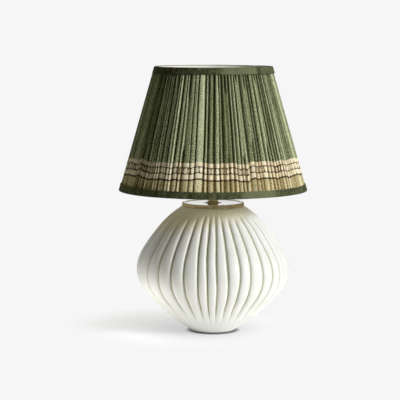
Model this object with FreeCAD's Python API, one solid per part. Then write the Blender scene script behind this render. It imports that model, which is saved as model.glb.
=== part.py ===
import FreeCAD, Part
import math
import os

os.makedirs("parts", exist_ok=True)

# A table lamp: a ribbed stoneware base, a brass neck and switched lampholder, and a gathered
# cloth shade that rests on a wire carrier. Millimetres, +Z up. The origin is the centre of the
# felt foot on the table, the viewer stands at -Y, and the cord inlet is at the back, +Y.

# Shade, measured over its bindings
shade_bottom_diameter = 350.0
shade_top_diameter = 222.0
shade_height = 228.0
shade_level = 266.0
cover_depth = 3.6
lining_thickness = 0.8
binding_thickness = 1.2
binding_fold = 0.8
top_binding_height = 12.5
bottom_binding_height = 11.5
cloth_gap = 0.3

# Shade frame and its fitter
ring_wire_diameter = 3.5
strut_wire_diameter = 3.0
strut_count = 8
arm_wire_diameter = 3.2
arm_count = 4
duplex_seat_height = 166.5
duplex_thickness = 1.5
duplex_bore_diameter = 90.0
duplex_skirt_height = 9.0
duplex_skirt_wall = 1.2
duplex_gap = 0.4

# Carrier, a standard ring on wire legs
carrier_ring_diameter = 104.0
carrier_ring_bore_diameter = 88.0
carrier_sheet = 1.5
carrier_foot_diameter = 68.0
carrier_foot_gap = 0.3
leg_wire_diameter = 3.0
leg_count = 3

# Stoneware base
pad_thickness = 2.0
foot_radius = 41.0
pad_inset = 3.0
cone_rise = 23.0
cone_radius = 73.8
belly_radius = 142.6
belly_level = 118.0
lip_radius = 58.0
lip_level = 235.0
rim_radius = 56.4
rim_level = 241.4
rim_width = 4.5
rim_recess = 3.0
stoneware_wall = 6.0
foot_opening_radius = 27.0
base_disc_thickness = 2.5
base_disc_margin = 9.0
fitting_gap = 0.1

# Carved grooves between the ribs
groove_depth = 4.6
groove_overrun = 2.0
groove_spread_angle = 2.75
groove_bottom_level = 36.0
groove_top_level = 224.0
first_groove_angle = -165.0

# Cord inlet
grommet_slant_share = 0.7
grommet_bore_radius = 3.5
grommet_body_radius = 5.0
grommet_flange_radius = 6.8
grommet_flange_thickness = 1.2
grommet_tail = 3.0

# Brass neck on its threaded stem
stem_radius = 5.0
stem_bore_radius = 3.6
stem_tail = 3.0
stem_reach = 2.0
stem_hole_gap = 0.5
nut_flats = 14.0
nut_height = 4.0
washer_radius = 16.0
washer_thickness = 1.5
cushion_thickness = 2.5
seat_washer_radius = 8.8
seat_washer_thickness = 1.0
neck_radius = 9.4
neck_foot_height = 2.4
bead_radius = 11.2
bead_height = 2.8
neck_height = 17.6

# Lampholder
holder_radius = 20.5
holder_wall = 1.2
holder_cap_round = 8.5
holder_cap_height = 20.0
holder_ledge_width = 1.3
holder_ledge_height = 1.5
skirt_radius = 20.0
skirt_height = 40.0
shade_ring_radius = 28.5
shade_ring_hub_radius = 23.5
shade_ring_height = 6.0
shade_ring_flange = 1.5
shade_ring_thread_gap = 0.05
carrier_seat_height = 14.0
insulator_radius = 16.5
insulator_height = 10.0
insulator_flange_height = 3.0
shell_wall = 0.6
shell_height = 26.0
running_gap = 0.05

# Contacts and terminals
contact_radius = 3.0
contact_length = 8.0
contact_proud = 2.0
terminal_width = 6.0
terminal_depth = 5.0
terminal_drop = 6.5
terminal_offset = 9.0
terminal_screw_radius = 1.4
terminal_screw_head_radius = 2.3
terminal_screw_head = 1.2
earth_width = 5.0
earth_height = 4.0
earth_offset = 8.2

# Push-bar switch
bar_radius = 2.5
bar_length = 58.0
bar_travel = 6.0
bar_drop = 6.5
button_radius = 3.3
button_length = 4.0
slider_length = 8.0
slider_width = 6.4
slider_height = 7.2

# Bulb
bulb_radius = 30.0
bulb_length = 108.0
bulb_wall = 1.0
bulb_cap_radius = 13.1
bulb_cap_wall = 0.5
bulb_cap_length = 21.5
bulb_tip_radius = 4.5
bulb_tip_height = 1.2
bulb_insulator_height = 3.3
bulb_insulator_top_radius = 10.5
bulb_neck_gap = 0.1
bulb_neck_depth = 8.0
bulb_neck_rise = 4.0

# Cuts run past the faces that they open by this much
overrun = 1.0

# The outline of the base between its cone and the lip, bottom to top. The first number is a
# share of the radius, the second a share of the height, between the points on either side.
lower_outline_shares = ((0.278, 0.161), (0.578, 0.376), (0.830, 0.591), (0.968, 0.806))
upper_outline_shares = ((0.054, 0.188), (0.176, 0.359), (0.339, 0.530), (0.525, 0.701), (0.766, 0.872))

# The depth of a groove along the base, bottom to top, as shares of the full depth
groove_depth_shares = (-0.20, 0.45, 0.88, 1.0, 1.0, 1.0, 1.0, 1.0, 0.97, 0.88, 0.72, 0.48, 0.20, -0.20)

# The widths of the ribs as shares of their mean width, from the left round the front to the
# right as carved by hand, then round the back
front_rib_shares = (1.60, 1.28, 1.22, 1.07, 0.99, 0.72, 0.71, 0.80, 0.87, 0.91, 1.06, 0.95, 1.05, 0.87)
back_rib_shares = (1.04, 0.93, 1.08, 0.96, 1.02, 0.91, 1.03) * 3

full_turn = 360.0
up = FreeCAD.Vector(0, 0, 1)
origin = FreeCAD.Vector(0, 0, 0)


def lathe_point(radius, level):
    """A point of a turned outline, drawn in the plane y = 0."""
    return FreeCAD.Vector(radius, 0, level)


def turned(edges):
    """The solid that a closed outline of edges makes when it turns once about the Z axis."""
    face = Part.Face(Part.Wire(edges))
    return face.revolve(origin, up, full_turn)


def outline_edges(points):
    """Straight edges through (radius, level) points."""
    corners = [lathe_point(radius, level) for radius, level in points]
    return [Part.makeLine(a, b) for a, b in zip(corners, corners[1:])]


def turned_polygon(points):
    return turned(outline_edges(list(points) + [points[0]]))


def tube(inner_radius, outer_radius, bottom, top):
    """A straight ring or sleeve about the Z axis."""
    return turned_polygon(
        ((inner_radius, bottom), (outer_radius, bottom), (outer_radius, top), (inner_radius, top))
    )


def disc(radius, bottom, top):
    return Part.makeCylinder(radius, top - bottom, lathe_point(0, bottom))


def rod(start, end, radius):
    """A round bar between two points."""
    run = end - start
    return Part.makeCylinder(radius, run.Length, start, run)


def wire_ring(radius, level, wire_radius):
    return Part.makeTorus(radius, wire_radius, lathe_point(0, level), up)


def around(radius, level, angle):
    """A point at an angle in degrees about the Z axis, counted from +X."""
    turn = math.radians(angle)
    return FreeCAD.Vector(radius * math.cos(turn), radius * math.sin(turn), level)


def spread_angles(count, first=0.0):
    return [first + full_turn * index / count for index in range(count)]


def turned_copy(shape, angle):
    copy = shape.copy()
    copy.rotate(origin, up, angle)
    return copy


def keep(name, shape):
    """Write one sub-part and print what it is made of."""
    shape.exportStep("parts/" + name + ".step")
    box = shape.BoundBox
    print(
        f"{name:20s} solids {len(shape.Solids):2d} valid {shape.isValid()} volume {shape.Volume:11.1f}"
        f" z {box.ZMin:8.2f} {box.ZMax:8.2f} reach {max(box.XMax, -box.XMin, box.YMax, -box.YMin):7.2f}"
    )


# Stoneware body: outline, hollow, carved grooves and the hole for the cord
foot_level = pad_thickness
cone_level = foot_level + cone_rise
disc_top = rim_level - rim_recess
disc_underside = disc_top - stoneware_wall


def between(start, end, share):
    return start + (end - start) * share


def base_curve():
    """The smooth curve of the base from the top of its cone, round the belly, to the lip."""
    points = [lathe_point(cone_radius, cone_level)]
    for radius_share, level_share in lower_outline_shares:
        radius = between(cone_radius, belly_radius, radius_share)
        points.append(lathe_point(radius, between(cone_level, belly_level, level_share)))
    points.append(lathe_point(belly_radius, belly_level))
    for radius_share, level_share in upper_outline_shares:
        radius = between(belly_radius, lip_radius, radius_share)
        points.append(lathe_point(radius, between(belly_level, lip_level, level_share)))
    points.append(lathe_point(lip_radius, lip_level))
    curve = Part.BSplineCurve()
    curve.interpolate(points)
    return curve, points


def outward(curve, parameter):
    """The unit normal of the outline, pointing away from the axis."""
    along = curve.tangent(parameter)[0]
    normal = FreeCAD.Vector(along.z, 0, -along.x)
    normal.normalize()
    return normal


def inner_curve(curve, points):
    """The same curve moved inwards by the wall."""
    moved = []
    for point in points:
        parameter = curve.parameter(point)
        moved.append(point - outward(curve, parameter) * stoneware_wall)
    inside = Part.BSplineCurve()
    inside.interpolate(moved)
    return inside, moved


def parameter_at_level(curve, level):
    """Halve the range until the curve's point lies at the level; the curve only climbs."""
    low = curve.FirstParameter
    high = curve.LastParameter
    for _ in range(50):
        middle = (low + high) / 2
        if curve.value(middle).z < level:
            low = middle
        else:
            high = middle
    return low


def groove_cutter(curve):
    """A long three-sided blade along the outline, whose edge dips into the wall by the groove's depth."""
    start = parameter_at_level(curve, groove_bottom_level)
    end = parameter_at_level(curve, groove_top_level)
    last = len(groove_depth_shares) - 1
    sections = []
    for index, depth_share in enumerate(groove_depth_shares):
        parameter = between(start, end, index / last)
        point = curve.value(parameter)
        normal = outward(curve, parameter)
        edge = point - normal * (groove_depth * depth_share)
        flank = point + normal * groove_overrun
        left = around(flank.x, flank.z, -groove_spread_angle)
        right = around(flank.x, flank.z, groove_spread_angle)
        sections.append(Part.makePolygon([edge, left, right, edge]))
    return Part.makeLoft(sections, True, False)


def groove_angles():
    """The valleys between the ribs, each a rib's width on from the last."""
    shares = front_rib_shares + back_rib_shares
    total = sum(shares)
    angles = []
    angle = first_groove_angle
    for share in shares:
        angles.append(angle)
        angle += full_turn * share / total
    return angles


# The cone below the belly is straight, so the cord inlet stands square on it
cone_run = math.hypot(cone_radius - foot_radius, cone_rise)
cone_along = FreeCAD.Vector(0, (cone_radius - foot_radius) / cone_run, cone_rise / cone_run)
cone_out = FreeCAD.Vector(0, cone_along.z, -cone_along.y)
grommet_seat = FreeCAD.Vector(0, foot_radius, foot_level) + cone_along * (cone_run * grommet_slant_share)
cone_inward_reach = stoneware_wall / cone_out.y


def stoneware_body():
    curve, points = base_curve()
    inside, inside_points = inner_curve(curve, points)
    floor_level = foot_level + stoneware_wall
    floor_radius = between(foot_radius, cone_radius, stoneware_wall / cone_rise) - cone_inward_reach
    disc_radius = rim_radius - rim_width
    recess_radius = foot_radius - base_disc_margin
    recess_level = foot_level + base_disc_thickness
    stem_hole_radius = stem_radius + stem_hole_gap
    outside_edges = outline_edges(((foot_radius, foot_level), (cone_radius, cone_level)))
    outside_edges.append(curve.toShape())
    top_edges = outline_edges(
        (
            (lip_radius, lip_level),
            (rim_radius, rim_level),
            (disc_radius, rim_level),
            (disc_radius, disc_top),
            (stem_hole_radius, disc_top),
            (stem_hole_radius, disc_underside),
            (disc_radius, disc_underside),
            (inside_points[-1].x, inside_points[-1].z),
        )
    )
    floor_edges = outline_edges(
        (
            (inside_points[0].x, inside_points[0].z),
            (floor_radius, floor_level),
            (foot_opening_radius, floor_level),
            (foot_opening_radius, recess_level),
            (recess_radius, recess_level),
            (recess_radius, foot_level),
            (foot_radius, foot_level),
        )
    )
    body = turned(outside_edges + top_edges + [inside.toShape()] + floor_edges)
    cutter = groove_cutter(curve)
    body = body.cut([turned_copy(cutter, angle) for angle in groove_angles()])
    hole_radius = grommet_body_radius + fitting_gap
    hole = rod(
        grommet_seat + cone_out * overrun,
        grommet_seat - cone_out * (stoneware_wall + overrun),
        hole_radius,
    )
    return body.cut(hole)


keep("ceramic_body", stoneware_body())

# Under the foot: a board disc in its recess and the felt pad that covers both
keep(
    "base_disc",
    disc(foot_radius - base_disc_margin - fitting_gap, foot_level, foot_level + base_disc_thickness),
)
keep("foot_pad", disc(foot_radius - pad_inset, 0, foot_level))


def grommet():
    """A soft bush through the wall: a flange outside, a body in the hole and a tail inside."""
    flange_end = grommet_seat + cone_out * grommet_flange_thickness
    tail_end = grommet_seat - cone_out * (stoneware_wall + grommet_tail)
    flange = rod(grommet_seat, flange_end, grommet_flange_radius)
    body = rod(grommet_seat, tail_end, grommet_body_radius)
    bore = rod(flange_end + cone_out * overrun, tail_end - cone_out * overrun, grommet_bore_radius)
    return flange.fuse(body).removeSplitter().cut(bore)


keep("cord_grommet", grommet())

# Threaded stem, and the nut and washers that pull the neck down on the top of the body
cushion_bottom = disc_underside - cushion_thickness
washer_bottom = cushion_bottom - washer_thickness
nut_bottom = washer_bottom - nut_height
neck_bottom = disc_top + seat_washer_thickness
neck_top = neck_bottom + neck_height
stem_top = neck_top + holder_wall + stem_reach
stem_clear_radius = stem_radius + fitting_gap


def stem_nut():
    """A hexagon nut on the stem, below the washer."""
    corner_radius = nut_flats / math.sqrt(3)
    corners = [around(corner_radius, nut_bottom, angle) for angle in spread_angles(6)]
    hexagon = Part.Face(Part.makePolygon(corners + [corners[0]])).extrude(up * nut_height)
    return hexagon.cut(disc(stem_clear_radius, nut_bottom - overrun, washer_bottom + overrun))


def neck_collar():
    """A turned neck with a bead, bored for the stem."""
    bead_bottom = neck_bottom + neck_foot_height
    bead_top = bead_bottom + bead_height
    bead_middle = bead_bottom + bead_height / 2
    below = outline_edges(
        ((stem_clear_radius, neck_bottom), (neck_radius, neck_bottom), (neck_radius, bead_bottom))
    )
    bead = Part.Arc(
        lathe_point(neck_radius, bead_bottom),
        lathe_point(bead_radius, bead_middle),
        lathe_point(neck_radius, bead_top),
    ).toShape()
    above = outline_edges(
        (
            (neck_radius, bead_top),
            (neck_radius, neck_top),
            (stem_clear_radius, neck_top),
            (stem_clear_radius, neck_bottom),
        )
    )
    return turned(below + [bead] + above)


keep("stem_tube", tube(stem_bore_radius, stem_radius, nut_bottom - stem_tail, stem_top))
keep("lower_nut", stem_nut())
keep("lower_washer", tube(stem_clear_radius, washer_radius, washer_bottom, cushion_bottom))
keep("lower_cushion", tube(stem_clear_radius, washer_radius, cushion_bottom, disc_underside))
keep("seating_washer", tube(stem_clear_radius, seat_washer_radius, disc_top, neck_bottom))
keep("neck_collar", neck_collar())

# Lampholder: cap, skirt, insulator and screw shell, stacked on the neck
cap_top = neck_top + holder_cap_height
skirt_top = cap_top + skirt_height
skirt_bore_radius = skirt_radius - holder_wall
insulator_top = cap_top + insulator_height
bar_level = cap_top - bar_drop
carrier_seat = cap_top + carrier_seat_height
shell_bore_radius = bulb_cap_radius + running_gap


def rounded_side(radius, level, round_radius):
    """A quarter circle from a floor at a level up to an upright side at a radius."""
    half = math.sqrt(0.5)
    middle = lathe_point(radius - round_radius * (1 - half), level + round_radius * (1 - half))
    return Part.Arc(
        lathe_point(radius - round_radius, level), middle, lathe_point(radius, level + round_radius)
    ).toShape()


def holder_cap():
    """A brass cup with a round shoulder, a ledge for the insulator and holes for the push bar."""
    inner_radius = holder_radius - holder_wall
    inner_round = holder_cap_round - holder_wall
    ledge_radius = inner_radius - holder_ledge_width
    ledge_bottom = cap_top - holder_ledge_height
    inside_floor = neck_top + holder_wall
    flat_radius = holder_radius - holder_cap_round
    side_bottom = neck_top + holder_cap_round
    outside = outline_edges(((stem_clear_radius, neck_top), (flat_radius, neck_top)))
    outside.append(rounded_side(holder_radius, neck_top, holder_cap_round))
    rim = outline_edges(
        (
            (holder_radius, side_bottom),
            (holder_radius, cap_top),
            (ledge_radius, cap_top),
            (ledge_radius, ledge_bottom),
            (inner_radius, ledge_bottom),
            (inner_radius, side_bottom),
        )
    )
    inside = [rounded_side(inner_radius, inside_floor, inner_round)]
    inside += outline_edges(
        ((flat_radius, inside_floor), (stem_clear_radius, inside_floor), (stem_clear_radius, neck_top))
    )
    cap = turned(outside + rim + inside)
    reach = holder_radius + overrun
    bar_hole = rod(
        FreeCAD.Vector(-reach, 0, bar_level), FreeCAD.Vector(reach, 0, bar_level), bar_radius + running_gap
    )
    return cap.cut(bar_hole)


def shade_ring(flange_level, hub_level):
    """A threaded ring with a flange on the side of the carrier and a hub away from it."""
    bore = skirt_radius + shade_ring_thread_gap
    way = math.copysign(1, hub_level - flange_level)
    flange_end = flange_level + way * shade_ring_flange
    return turned_polygon(
        (
            (bore, flange_level),
            (shade_ring_radius, flange_level),
            (shade_ring_radius, flange_end),
            (shade_ring_hub_radius, flange_end),
            (shade_ring_hub_radius, hub_level),
            (bore, hub_level),
        )
    )


def holder_insulator():
    """A stepped porcelain plug with a pocket for the centre contact."""
    flange_radius = skirt_bore_radius - fitting_gap
    flange_top = cap_top + insulator_flange_height
    plug = disc(flange_radius, cap_top, flange_top).fuse(disc(insulator_radius, cap_top, insulator_top))
    pocket_bottom = insulator_top + contact_proud - contact_length
    pocket = disc(contact_radius + running_gap, pocket_bottom, insulator_top + overrun)
    return plug.removeSplitter().cut(pocket)


keep("holder_cap", holder_cap())
keep("holder_skirt", tube(skirt_bore_radius, skirt_radius, cap_top, skirt_top))
keep("lower_shade_ring", shade_ring(carrier_seat, carrier_seat - shade_ring_height))
carrier_foot_top = carrier_seat + carrier_sheet
keep("upper_shade_ring", shade_ring(carrier_foot_top, carrier_foot_top + shade_ring_height))
keep("holder_insulator", holder_insulator())
keep(
    "screw_shell",
    tube(shell_bore_radius, shell_bore_radius + shell_wall, insulator_top, insulator_top + shell_height),
)


def side_of_axis(side, offset):
    return FreeCAD.Vector(0, side * offset, 0)


def terminal_screw(side):
    """A short screw from the outer face of a terminal block inwards, with a round head."""
    outer_face = side_of_axis(side, terminal_offset + terminal_depth / 2)
    height = lathe_point(0, cap_top - terminal_drop / 2)
    head_end = side_of_axis(side, terminal_screw_head)
    shank_end = side_of_axis(side, terminal_depth)
    head = rod(height + outer_face, height + outer_face + head_end, terminal_screw_head_radius)
    shank = rod(height + outer_face, height + outer_face - shank_end, terminal_screw_radius)
    return head.fuse(shank).removeSplitter()


def terminal_block(side):
    """A brass block under the insulator, bored for its screw."""
    corner = FreeCAD.Vector(-terminal_width / 2, -terminal_depth / 2, cap_top - terminal_drop)
    block = Part.makeBox(terminal_width, terminal_depth, terminal_drop, corner)
    block.translate(side_of_axis(side, terminal_offset))
    height = lathe_point(0, cap_top - terminal_drop / 2)
    outer_end = height + side_of_axis(side, terminal_offset + terminal_depth)
    inner_end = height + side_of_axis(side, terminal_offset - terminal_depth)
    return block.cut(rod(outer_end, inner_end, terminal_screw_radius + running_gap))


keep("terminal_blocks", Part.Compound([terminal_block(side) for side in (-1, 1)]))
keep("terminal_screws", Part.Compound([terminal_screw(side) for side in (-1, 1)]))
earth_corner = FreeCAD.Vector(-earth_width / 2, -earth_width / 2, neck_top + holder_wall)
earth_block = Part.makeBox(earth_width, earth_width / 2, earth_height, earth_corner)
earth_block.translate(side_of_axis(1, earth_offset))
keep("earth_terminal", earth_block)

# Push-bar switch, at rest with its left end out
bar_left = -(bar_length + bar_travel) / 2
bar_right = bar_left + bar_length


def across(position):
    return FreeCAD.Vector(position, 0, bar_level)


def switch_bar():
    """A round bar with a thicker button at each end."""
    bar = rod(across(bar_left), across(bar_right), bar_radius)
    left_button = rod(across(bar_left), across(bar_left + button_length), button_radius)
    right_button = rod(across(bar_right), across(bar_right - button_length), button_radius)
    return bar.fuse([left_button, right_button]).removeSplitter()


def switch_slider():
    """The moulded block on the middle of the bar that works the contacts."""
    middle = (bar_left + bar_right) / 2
    corner = FreeCAD.Vector(middle - slider_length / 2, -slider_width / 2, bar_level - slider_height / 2)
    block = Part.makeBox(slider_length, slider_width, slider_height, corner)
    return block.cut(rod(across(bar_left), across(bar_right), bar_radius + running_gap))


keep("switch_bar", switch_bar())
keep("switch_slider", switch_slider())

# Centre contact in its pocket, and the bulb that stands on it
contact_top = insulator_top + contact_proud
keep("centre_contact", disc(contact_radius, contact_top - contact_length, contact_top))

tip_top = contact_top + bulb_tip_height
bulb_cap_bottom = tip_top + bulb_insulator_height
bulb_cap_top = bulb_cap_bottom + bulb_cap_length
glass_neck_radius = bulb_cap_radius - bulb_cap_wall - bulb_neck_gap
glass_bottom = bulb_cap_top - bulb_neck_depth
glass_neck_top = bulb_cap_top + bulb_neck_rise
globe_level = contact_top + bulb_length - bulb_radius


def glass_outline(inset):
    """Half of the envelope: a straight neck, a cone that just touches the globe, and the globe."""
    neck = glass_neck_radius - inset
    globe = bulb_radius - inset
    rise = globe_level - glass_neck_top
    distance = math.hypot(neck, rise)
    touch = math.atan2(neck, rise) + math.acos(globe / distance)
    touch_point = lathe_point(globe * math.sin(touch), globe_level - globe * math.cos(touch))
    side = math.pi / 2 + touch / 2
    side_point = lathe_point(globe * math.sin(side), globe_level - globe * math.cos(side))
    top_point = lathe_point(0, globe_level + globe)
    neck_corner = lathe_point(neck, glass_neck_top)
    return [
        Part.makeLine(lathe_point(neck, glass_bottom), neck_corner),
        Part.makeLine(neck_corner, touch_point),
        Part.Arc(touch_point, side_point, top_point).toShape(),
    ]


def bulb_glass():
    """A closed envelope of even thickness, open at the neck where the cap is cemented on."""
    outer = glass_outline(0)
    inner = glass_outline(bulb_wall)
    crown = Part.makeLine(
        lathe_point(0, globe_level + bulb_radius), lathe_point(0, globe_level + bulb_radius - bulb_wall)
    )
    mouth = Part.makeLine(
        lathe_point(glass_neck_radius - bulb_wall, glass_bottom), lathe_point(glass_neck_radius, glass_bottom)
    )
    return turned(Part.sortEdges(outer + [crown] + inner + [mouth])[0])


def bulb_cap():
    """The screw cap as a plain sleeve with a turned-in bottom edge."""
    bore = bulb_cap_radius - bulb_cap_wall
    return turned_polygon(
        (
            (bulb_tip_radius, bulb_cap_bottom),
            (bulb_cap_radius, bulb_cap_bottom),
            (bulb_cap_radius, bulb_cap_top),
            (bore, bulb_cap_top),
            (bore, bulb_cap_bottom + bulb_cap_wall),
            (bulb_tip_radius, bulb_cap_bottom + bulb_cap_wall),
        )
    )


keep("bulb_glass", bulb_glass())
keep("bulb_cap", bulb_cap())
keep(
    "bulb_insulator",
    Part.makeCone(bulb_tip_radius, bulb_insulator_top_radius, bulb_insulator_height, lathe_point(0, tip_top)),
)
keep("bulb_tip", disc(bulb_tip_radius, contact_top, tip_top))

# Carrier: a foot clamped between the two shade rings, wire legs and the ring that the shade rests on
fitter_level = shade_level + duplex_seat_height
carrier_ring_bottom = fitter_level - carrier_sheet
carrier_ring_radius = carrier_ring_diameter / 2
carrier_ring_bore = carrier_ring_bore_diameter / 2
carrier_foot_radius = carrier_foot_diameter / 2
leg_radius = leg_wire_diameter / 2
keep(
    "carrier_foot",
    tube(skirt_radius + carrier_foot_gap, carrier_foot_radius, carrier_seat, carrier_foot_top),
)
keep("carrier_ring", tube(carrier_ring_bore, carrier_ring_radius, carrier_ring_bottom, fitter_level))


def carrier_leg(angle):
    """A slanted wire with its ends cut level, on the foot below and under the ring above."""
    foot_centre = carrier_foot_radius - leg_radius
    ring_centre = (carrier_ring_bore + carrier_ring_radius) / 2
    low = around(foot_centre, carrier_foot_top, angle)
    high = around(ring_centre, carrier_ring_bottom, angle)
    slope = (high - low) / (carrier_ring_bottom - carrier_foot_top)
    leg = rod(low - slope * leg_wire_diameter, high + slope * leg_wire_diameter, leg_radius)
    layer_radius = carrier_ring_radius + leg_wire_diameter
    return leg.common(disc(layer_radius, carrier_foot_top, carrier_ring_bottom))


leg_angles = spread_angles(leg_count, full_turn / (2 * leg_count) + full_turn / 4)
keep("carrier_legs", Part.Compound([carrier_leg(angle) for angle in leg_angles]))

# Shade: the cover's outer face is a cone, and everything inside it is set back from that cone
shade_top = shade_level + shade_height
cover_bottom_radius = shade_bottom_diameter / 2 - binding_thickness
cover_top_radius = shade_top_diameter / 2 - binding_thickness
ring_radius = ring_wire_diameter / 2
strut_radius = strut_wire_diameter / 2
ring_setback = cover_depth + cloth_gap + ring_radius
lining_setback = cover_depth + cloth_gap + ring_wire_diameter + cloth_gap
bottom_ring_level = shade_level + binding_fold + cloth_gap + ring_radius
top_ring_level = shade_top - binding_fold - cloth_gap - ring_radius


def cover_radius(level):
    """The radius of the cover's outer face at a level."""
    return between(cover_bottom_radius, cover_top_radius, (level - shade_level) / shade_height)


def cone_shell(outer_setback, inner_setback, bottom, top):
    """A conical skin between two setbacks from the cover's outer face; outwards is negative."""
    return turned_polygon(
        (
            (cover_radius(bottom) - outer_setback, bottom),
            (cover_radius(top) - outer_setback, top),
            (cover_radius(top) - inner_setback, top),
            (cover_radius(bottom) - inner_setback, bottom),
        )
    )


def binding(edge_level, fold_level, far_level):
    """A band round the outside of the shade that turns in over its edge."""
    outer = -binding_thickness
    inner = -cloth_gap / 2
    return turned_polygon(
        (
            (cover_radius(edge_level) - outer, edge_level),
            (cover_radius(far_level) - outer, far_level),
            (cover_radius(far_level) - inner, far_level),
            (cover_radius(fold_level) - inner, fold_level),
            (cover_radius(fold_level) - ring_setback, fold_level),
            (cover_radius(edge_level) - ring_setback, edge_level),
        )
    )


cloth_bottom = shade_level + binding_fold
cloth_top = shade_top - binding_fold
keep("gathered_cover", cone_shell(0, cover_depth, cloth_bottom, cloth_top))
keep("top_binding", binding(shade_top, cloth_top, shade_top - top_binding_height))
keep("bottom_binding", binding(shade_level, cloth_bottom, shade_level + bottom_binding_height))

top_ring_radius = cover_radius(top_ring_level) - ring_setback
bottom_ring_radius = cover_radius(bottom_ring_level) - ring_setback
keep("top_ring", wire_ring(top_ring_radius, top_ring_level, ring_radius))
keep("bottom_ring", wire_ring(bottom_ring_radius, bottom_ring_level, ring_radius))

ring_envelopes = [
    wire_ring(top_ring_radius, top_ring_level, ring_radius + running_gap),
    wire_ring(bottom_ring_radius, bottom_ring_level, ring_radius + running_gap),
]


def side_strut(angle):
    """A straight wire from ring to ring, hollowed at its ends to sit on them."""
    low = around(bottom_ring_radius, bottom_ring_level, angle)
    high = around(top_ring_radius, top_ring_level, angle)
    return rod(low, high, strut_radius).cut(ring_envelopes)


# The struts start half a space on from an arm, so that no arm meets one at the top ring
arm_angles = spread_angles(arm_count, full_turn / (2 * arm_count))
strut_angles = spread_angles(strut_count, arm_angles[0] + full_turn / (2 * strut_count))
keep("side_struts", Part.Compound([side_strut(angle) for angle in strut_angles]))

# Fitter: the ring that sits on the carrier, and the arms up to the top ring
duplex_top = fitter_level + duplex_thickness
duplex_skirt_inner = carrier_ring_radius + duplex_gap
duplex_outer = duplex_skirt_inner + duplex_skirt_wall
duplex_skirt_bottom = duplex_top - duplex_skirt_height
keep(
    "duplex_ring",
    turned_polygon(
        (
            (duplex_bore_diameter / 2, fitter_level),
            (duplex_skirt_inner, fitter_level),
            (duplex_skirt_inner, duplex_skirt_bottom),
            (duplex_outer, duplex_skirt_bottom),
            (duplex_outer, duplex_top),
            (duplex_bore_diameter / 2, duplex_top),
        )
    ),
)
arm_radius = arm_wire_diameter / 2


def arm_line(angle):
    """The ends of an arm's centre line, on the fitter ring and at the middle of the top ring."""
    low = around(duplex_outer - arm_radius, duplex_top, angle)
    high = around(top_ring_radius, top_ring_level, angle)
    return low, high


def fitter_arm(angle):
    """A slanted wire, cut level where it stands on the fitter ring and hollowed at the top ring."""
    low, high = arm_line(angle)
    run = high - low
    run.normalize()
    arm = rod(low - run * arm_wire_diameter, high, arm_radius)
    below = disc(carrier_ring_diameter, duplex_skirt_bottom, duplex_top)
    return arm.cut([below, ring_envelopes[0]])


keep("shade_arms", Part.Compound([fitter_arm(angle) for angle in arm_angles]))


def shade_lining():
    """A thin cone inside the frame, slit where the arms pass."""
    lining = cone_shell(lining_setback, lining_setback + lining_thickness, cloth_bottom, cloth_top)
    slits = [rod(*arm_line(angle), arm_radius + cloth_gap) for angle in arm_angles]
    return lining.cut(slits)


keep("shade_lining", shade_lining())

# Values that a user of the lamp needs
print("cord inlet seat", grommet_seat, "axis", cone_out, "length", stoneware_wall + grommet_tail)
print("lining inside radius, bottom and top", bottom_ring_radius, top_ring_radius)
print("levels", neck_top, cap_top, skirt_top, insulator_top, contact_top, glass_neck_top, globe_level)
print("carrier", carrier_seat, carrier_foot_top, carrier_ring_bottom, fitter_level, duplex_top)
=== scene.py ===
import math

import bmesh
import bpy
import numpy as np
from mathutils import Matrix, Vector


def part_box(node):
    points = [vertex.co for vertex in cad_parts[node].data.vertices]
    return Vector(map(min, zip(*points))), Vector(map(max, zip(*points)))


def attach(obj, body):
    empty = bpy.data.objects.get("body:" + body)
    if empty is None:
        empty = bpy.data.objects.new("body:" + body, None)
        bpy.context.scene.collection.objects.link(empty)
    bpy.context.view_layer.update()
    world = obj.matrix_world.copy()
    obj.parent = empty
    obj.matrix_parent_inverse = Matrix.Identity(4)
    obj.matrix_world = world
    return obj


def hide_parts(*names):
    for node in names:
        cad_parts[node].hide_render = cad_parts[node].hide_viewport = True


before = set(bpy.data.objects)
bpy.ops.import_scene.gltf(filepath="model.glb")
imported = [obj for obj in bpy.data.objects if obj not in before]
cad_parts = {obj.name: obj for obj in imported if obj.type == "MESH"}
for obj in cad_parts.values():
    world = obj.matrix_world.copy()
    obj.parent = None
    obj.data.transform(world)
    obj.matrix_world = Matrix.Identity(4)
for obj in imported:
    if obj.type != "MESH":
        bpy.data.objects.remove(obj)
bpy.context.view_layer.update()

# %% [markdown]
# This lesson dresses a table lamp: a carved stoneware base, a brass neck with its lampholder, and
# a shade of gathered linen on a wire carrier. The frame holds every piece at its real size, in
# metres, +Z up, with the origin under the foot. Blender adds what a CAD model can't: the carving,
# the pleats, the folded edges and the finish of each surface.

scene = bpy.context.scene
full_turn = 2 * math.pi
quarter_turn = math.pi / 2


def added(name, data):
    """A new object in the scene that holds this camera, lamp or mesh."""
    made = bpy.data.objects.new(name, data)
    scene.collection.objects.link(made)
    return made


# %% [markdown]
# The camera comes first, because everything is judged from it. It stands almost three metres
# away, a little above the shade, and looks down by about six degrees. Such a long view keeps the
# ellipses of the shade's edges flat, as a product photographer likes them.

# %% Camera
camera_distance = 2.9144
camera_height = 0.56307
camera_dip = 0.108617
camera_turn = 0.008286
camera_lens = 141.434

camera_data = bpy.data.cameras.new("camera")
camera_data.lens = camera_lens
camera = added("camera", camera_data)
camera.location = (0, -camera_distance, camera_height)
camera.rotation_euler = (quarter_turn - camera_dip, 0, camera_turn)
scene.camera = camera
scene.view_settings.view_transform = "Standard"
print("camera", tuple(camera.location))

# %% [markdown]
# Light, floor and finishes are all wired from nodes. A small class owns one tree of nodes. Each
# of its methods adds a node and hands back its output, so a tree is written like a sum, from the
# inside out. These methods are the ones that light and floor need; finishes add their own later.

# %% Wiring: a short way to join nodes


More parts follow.
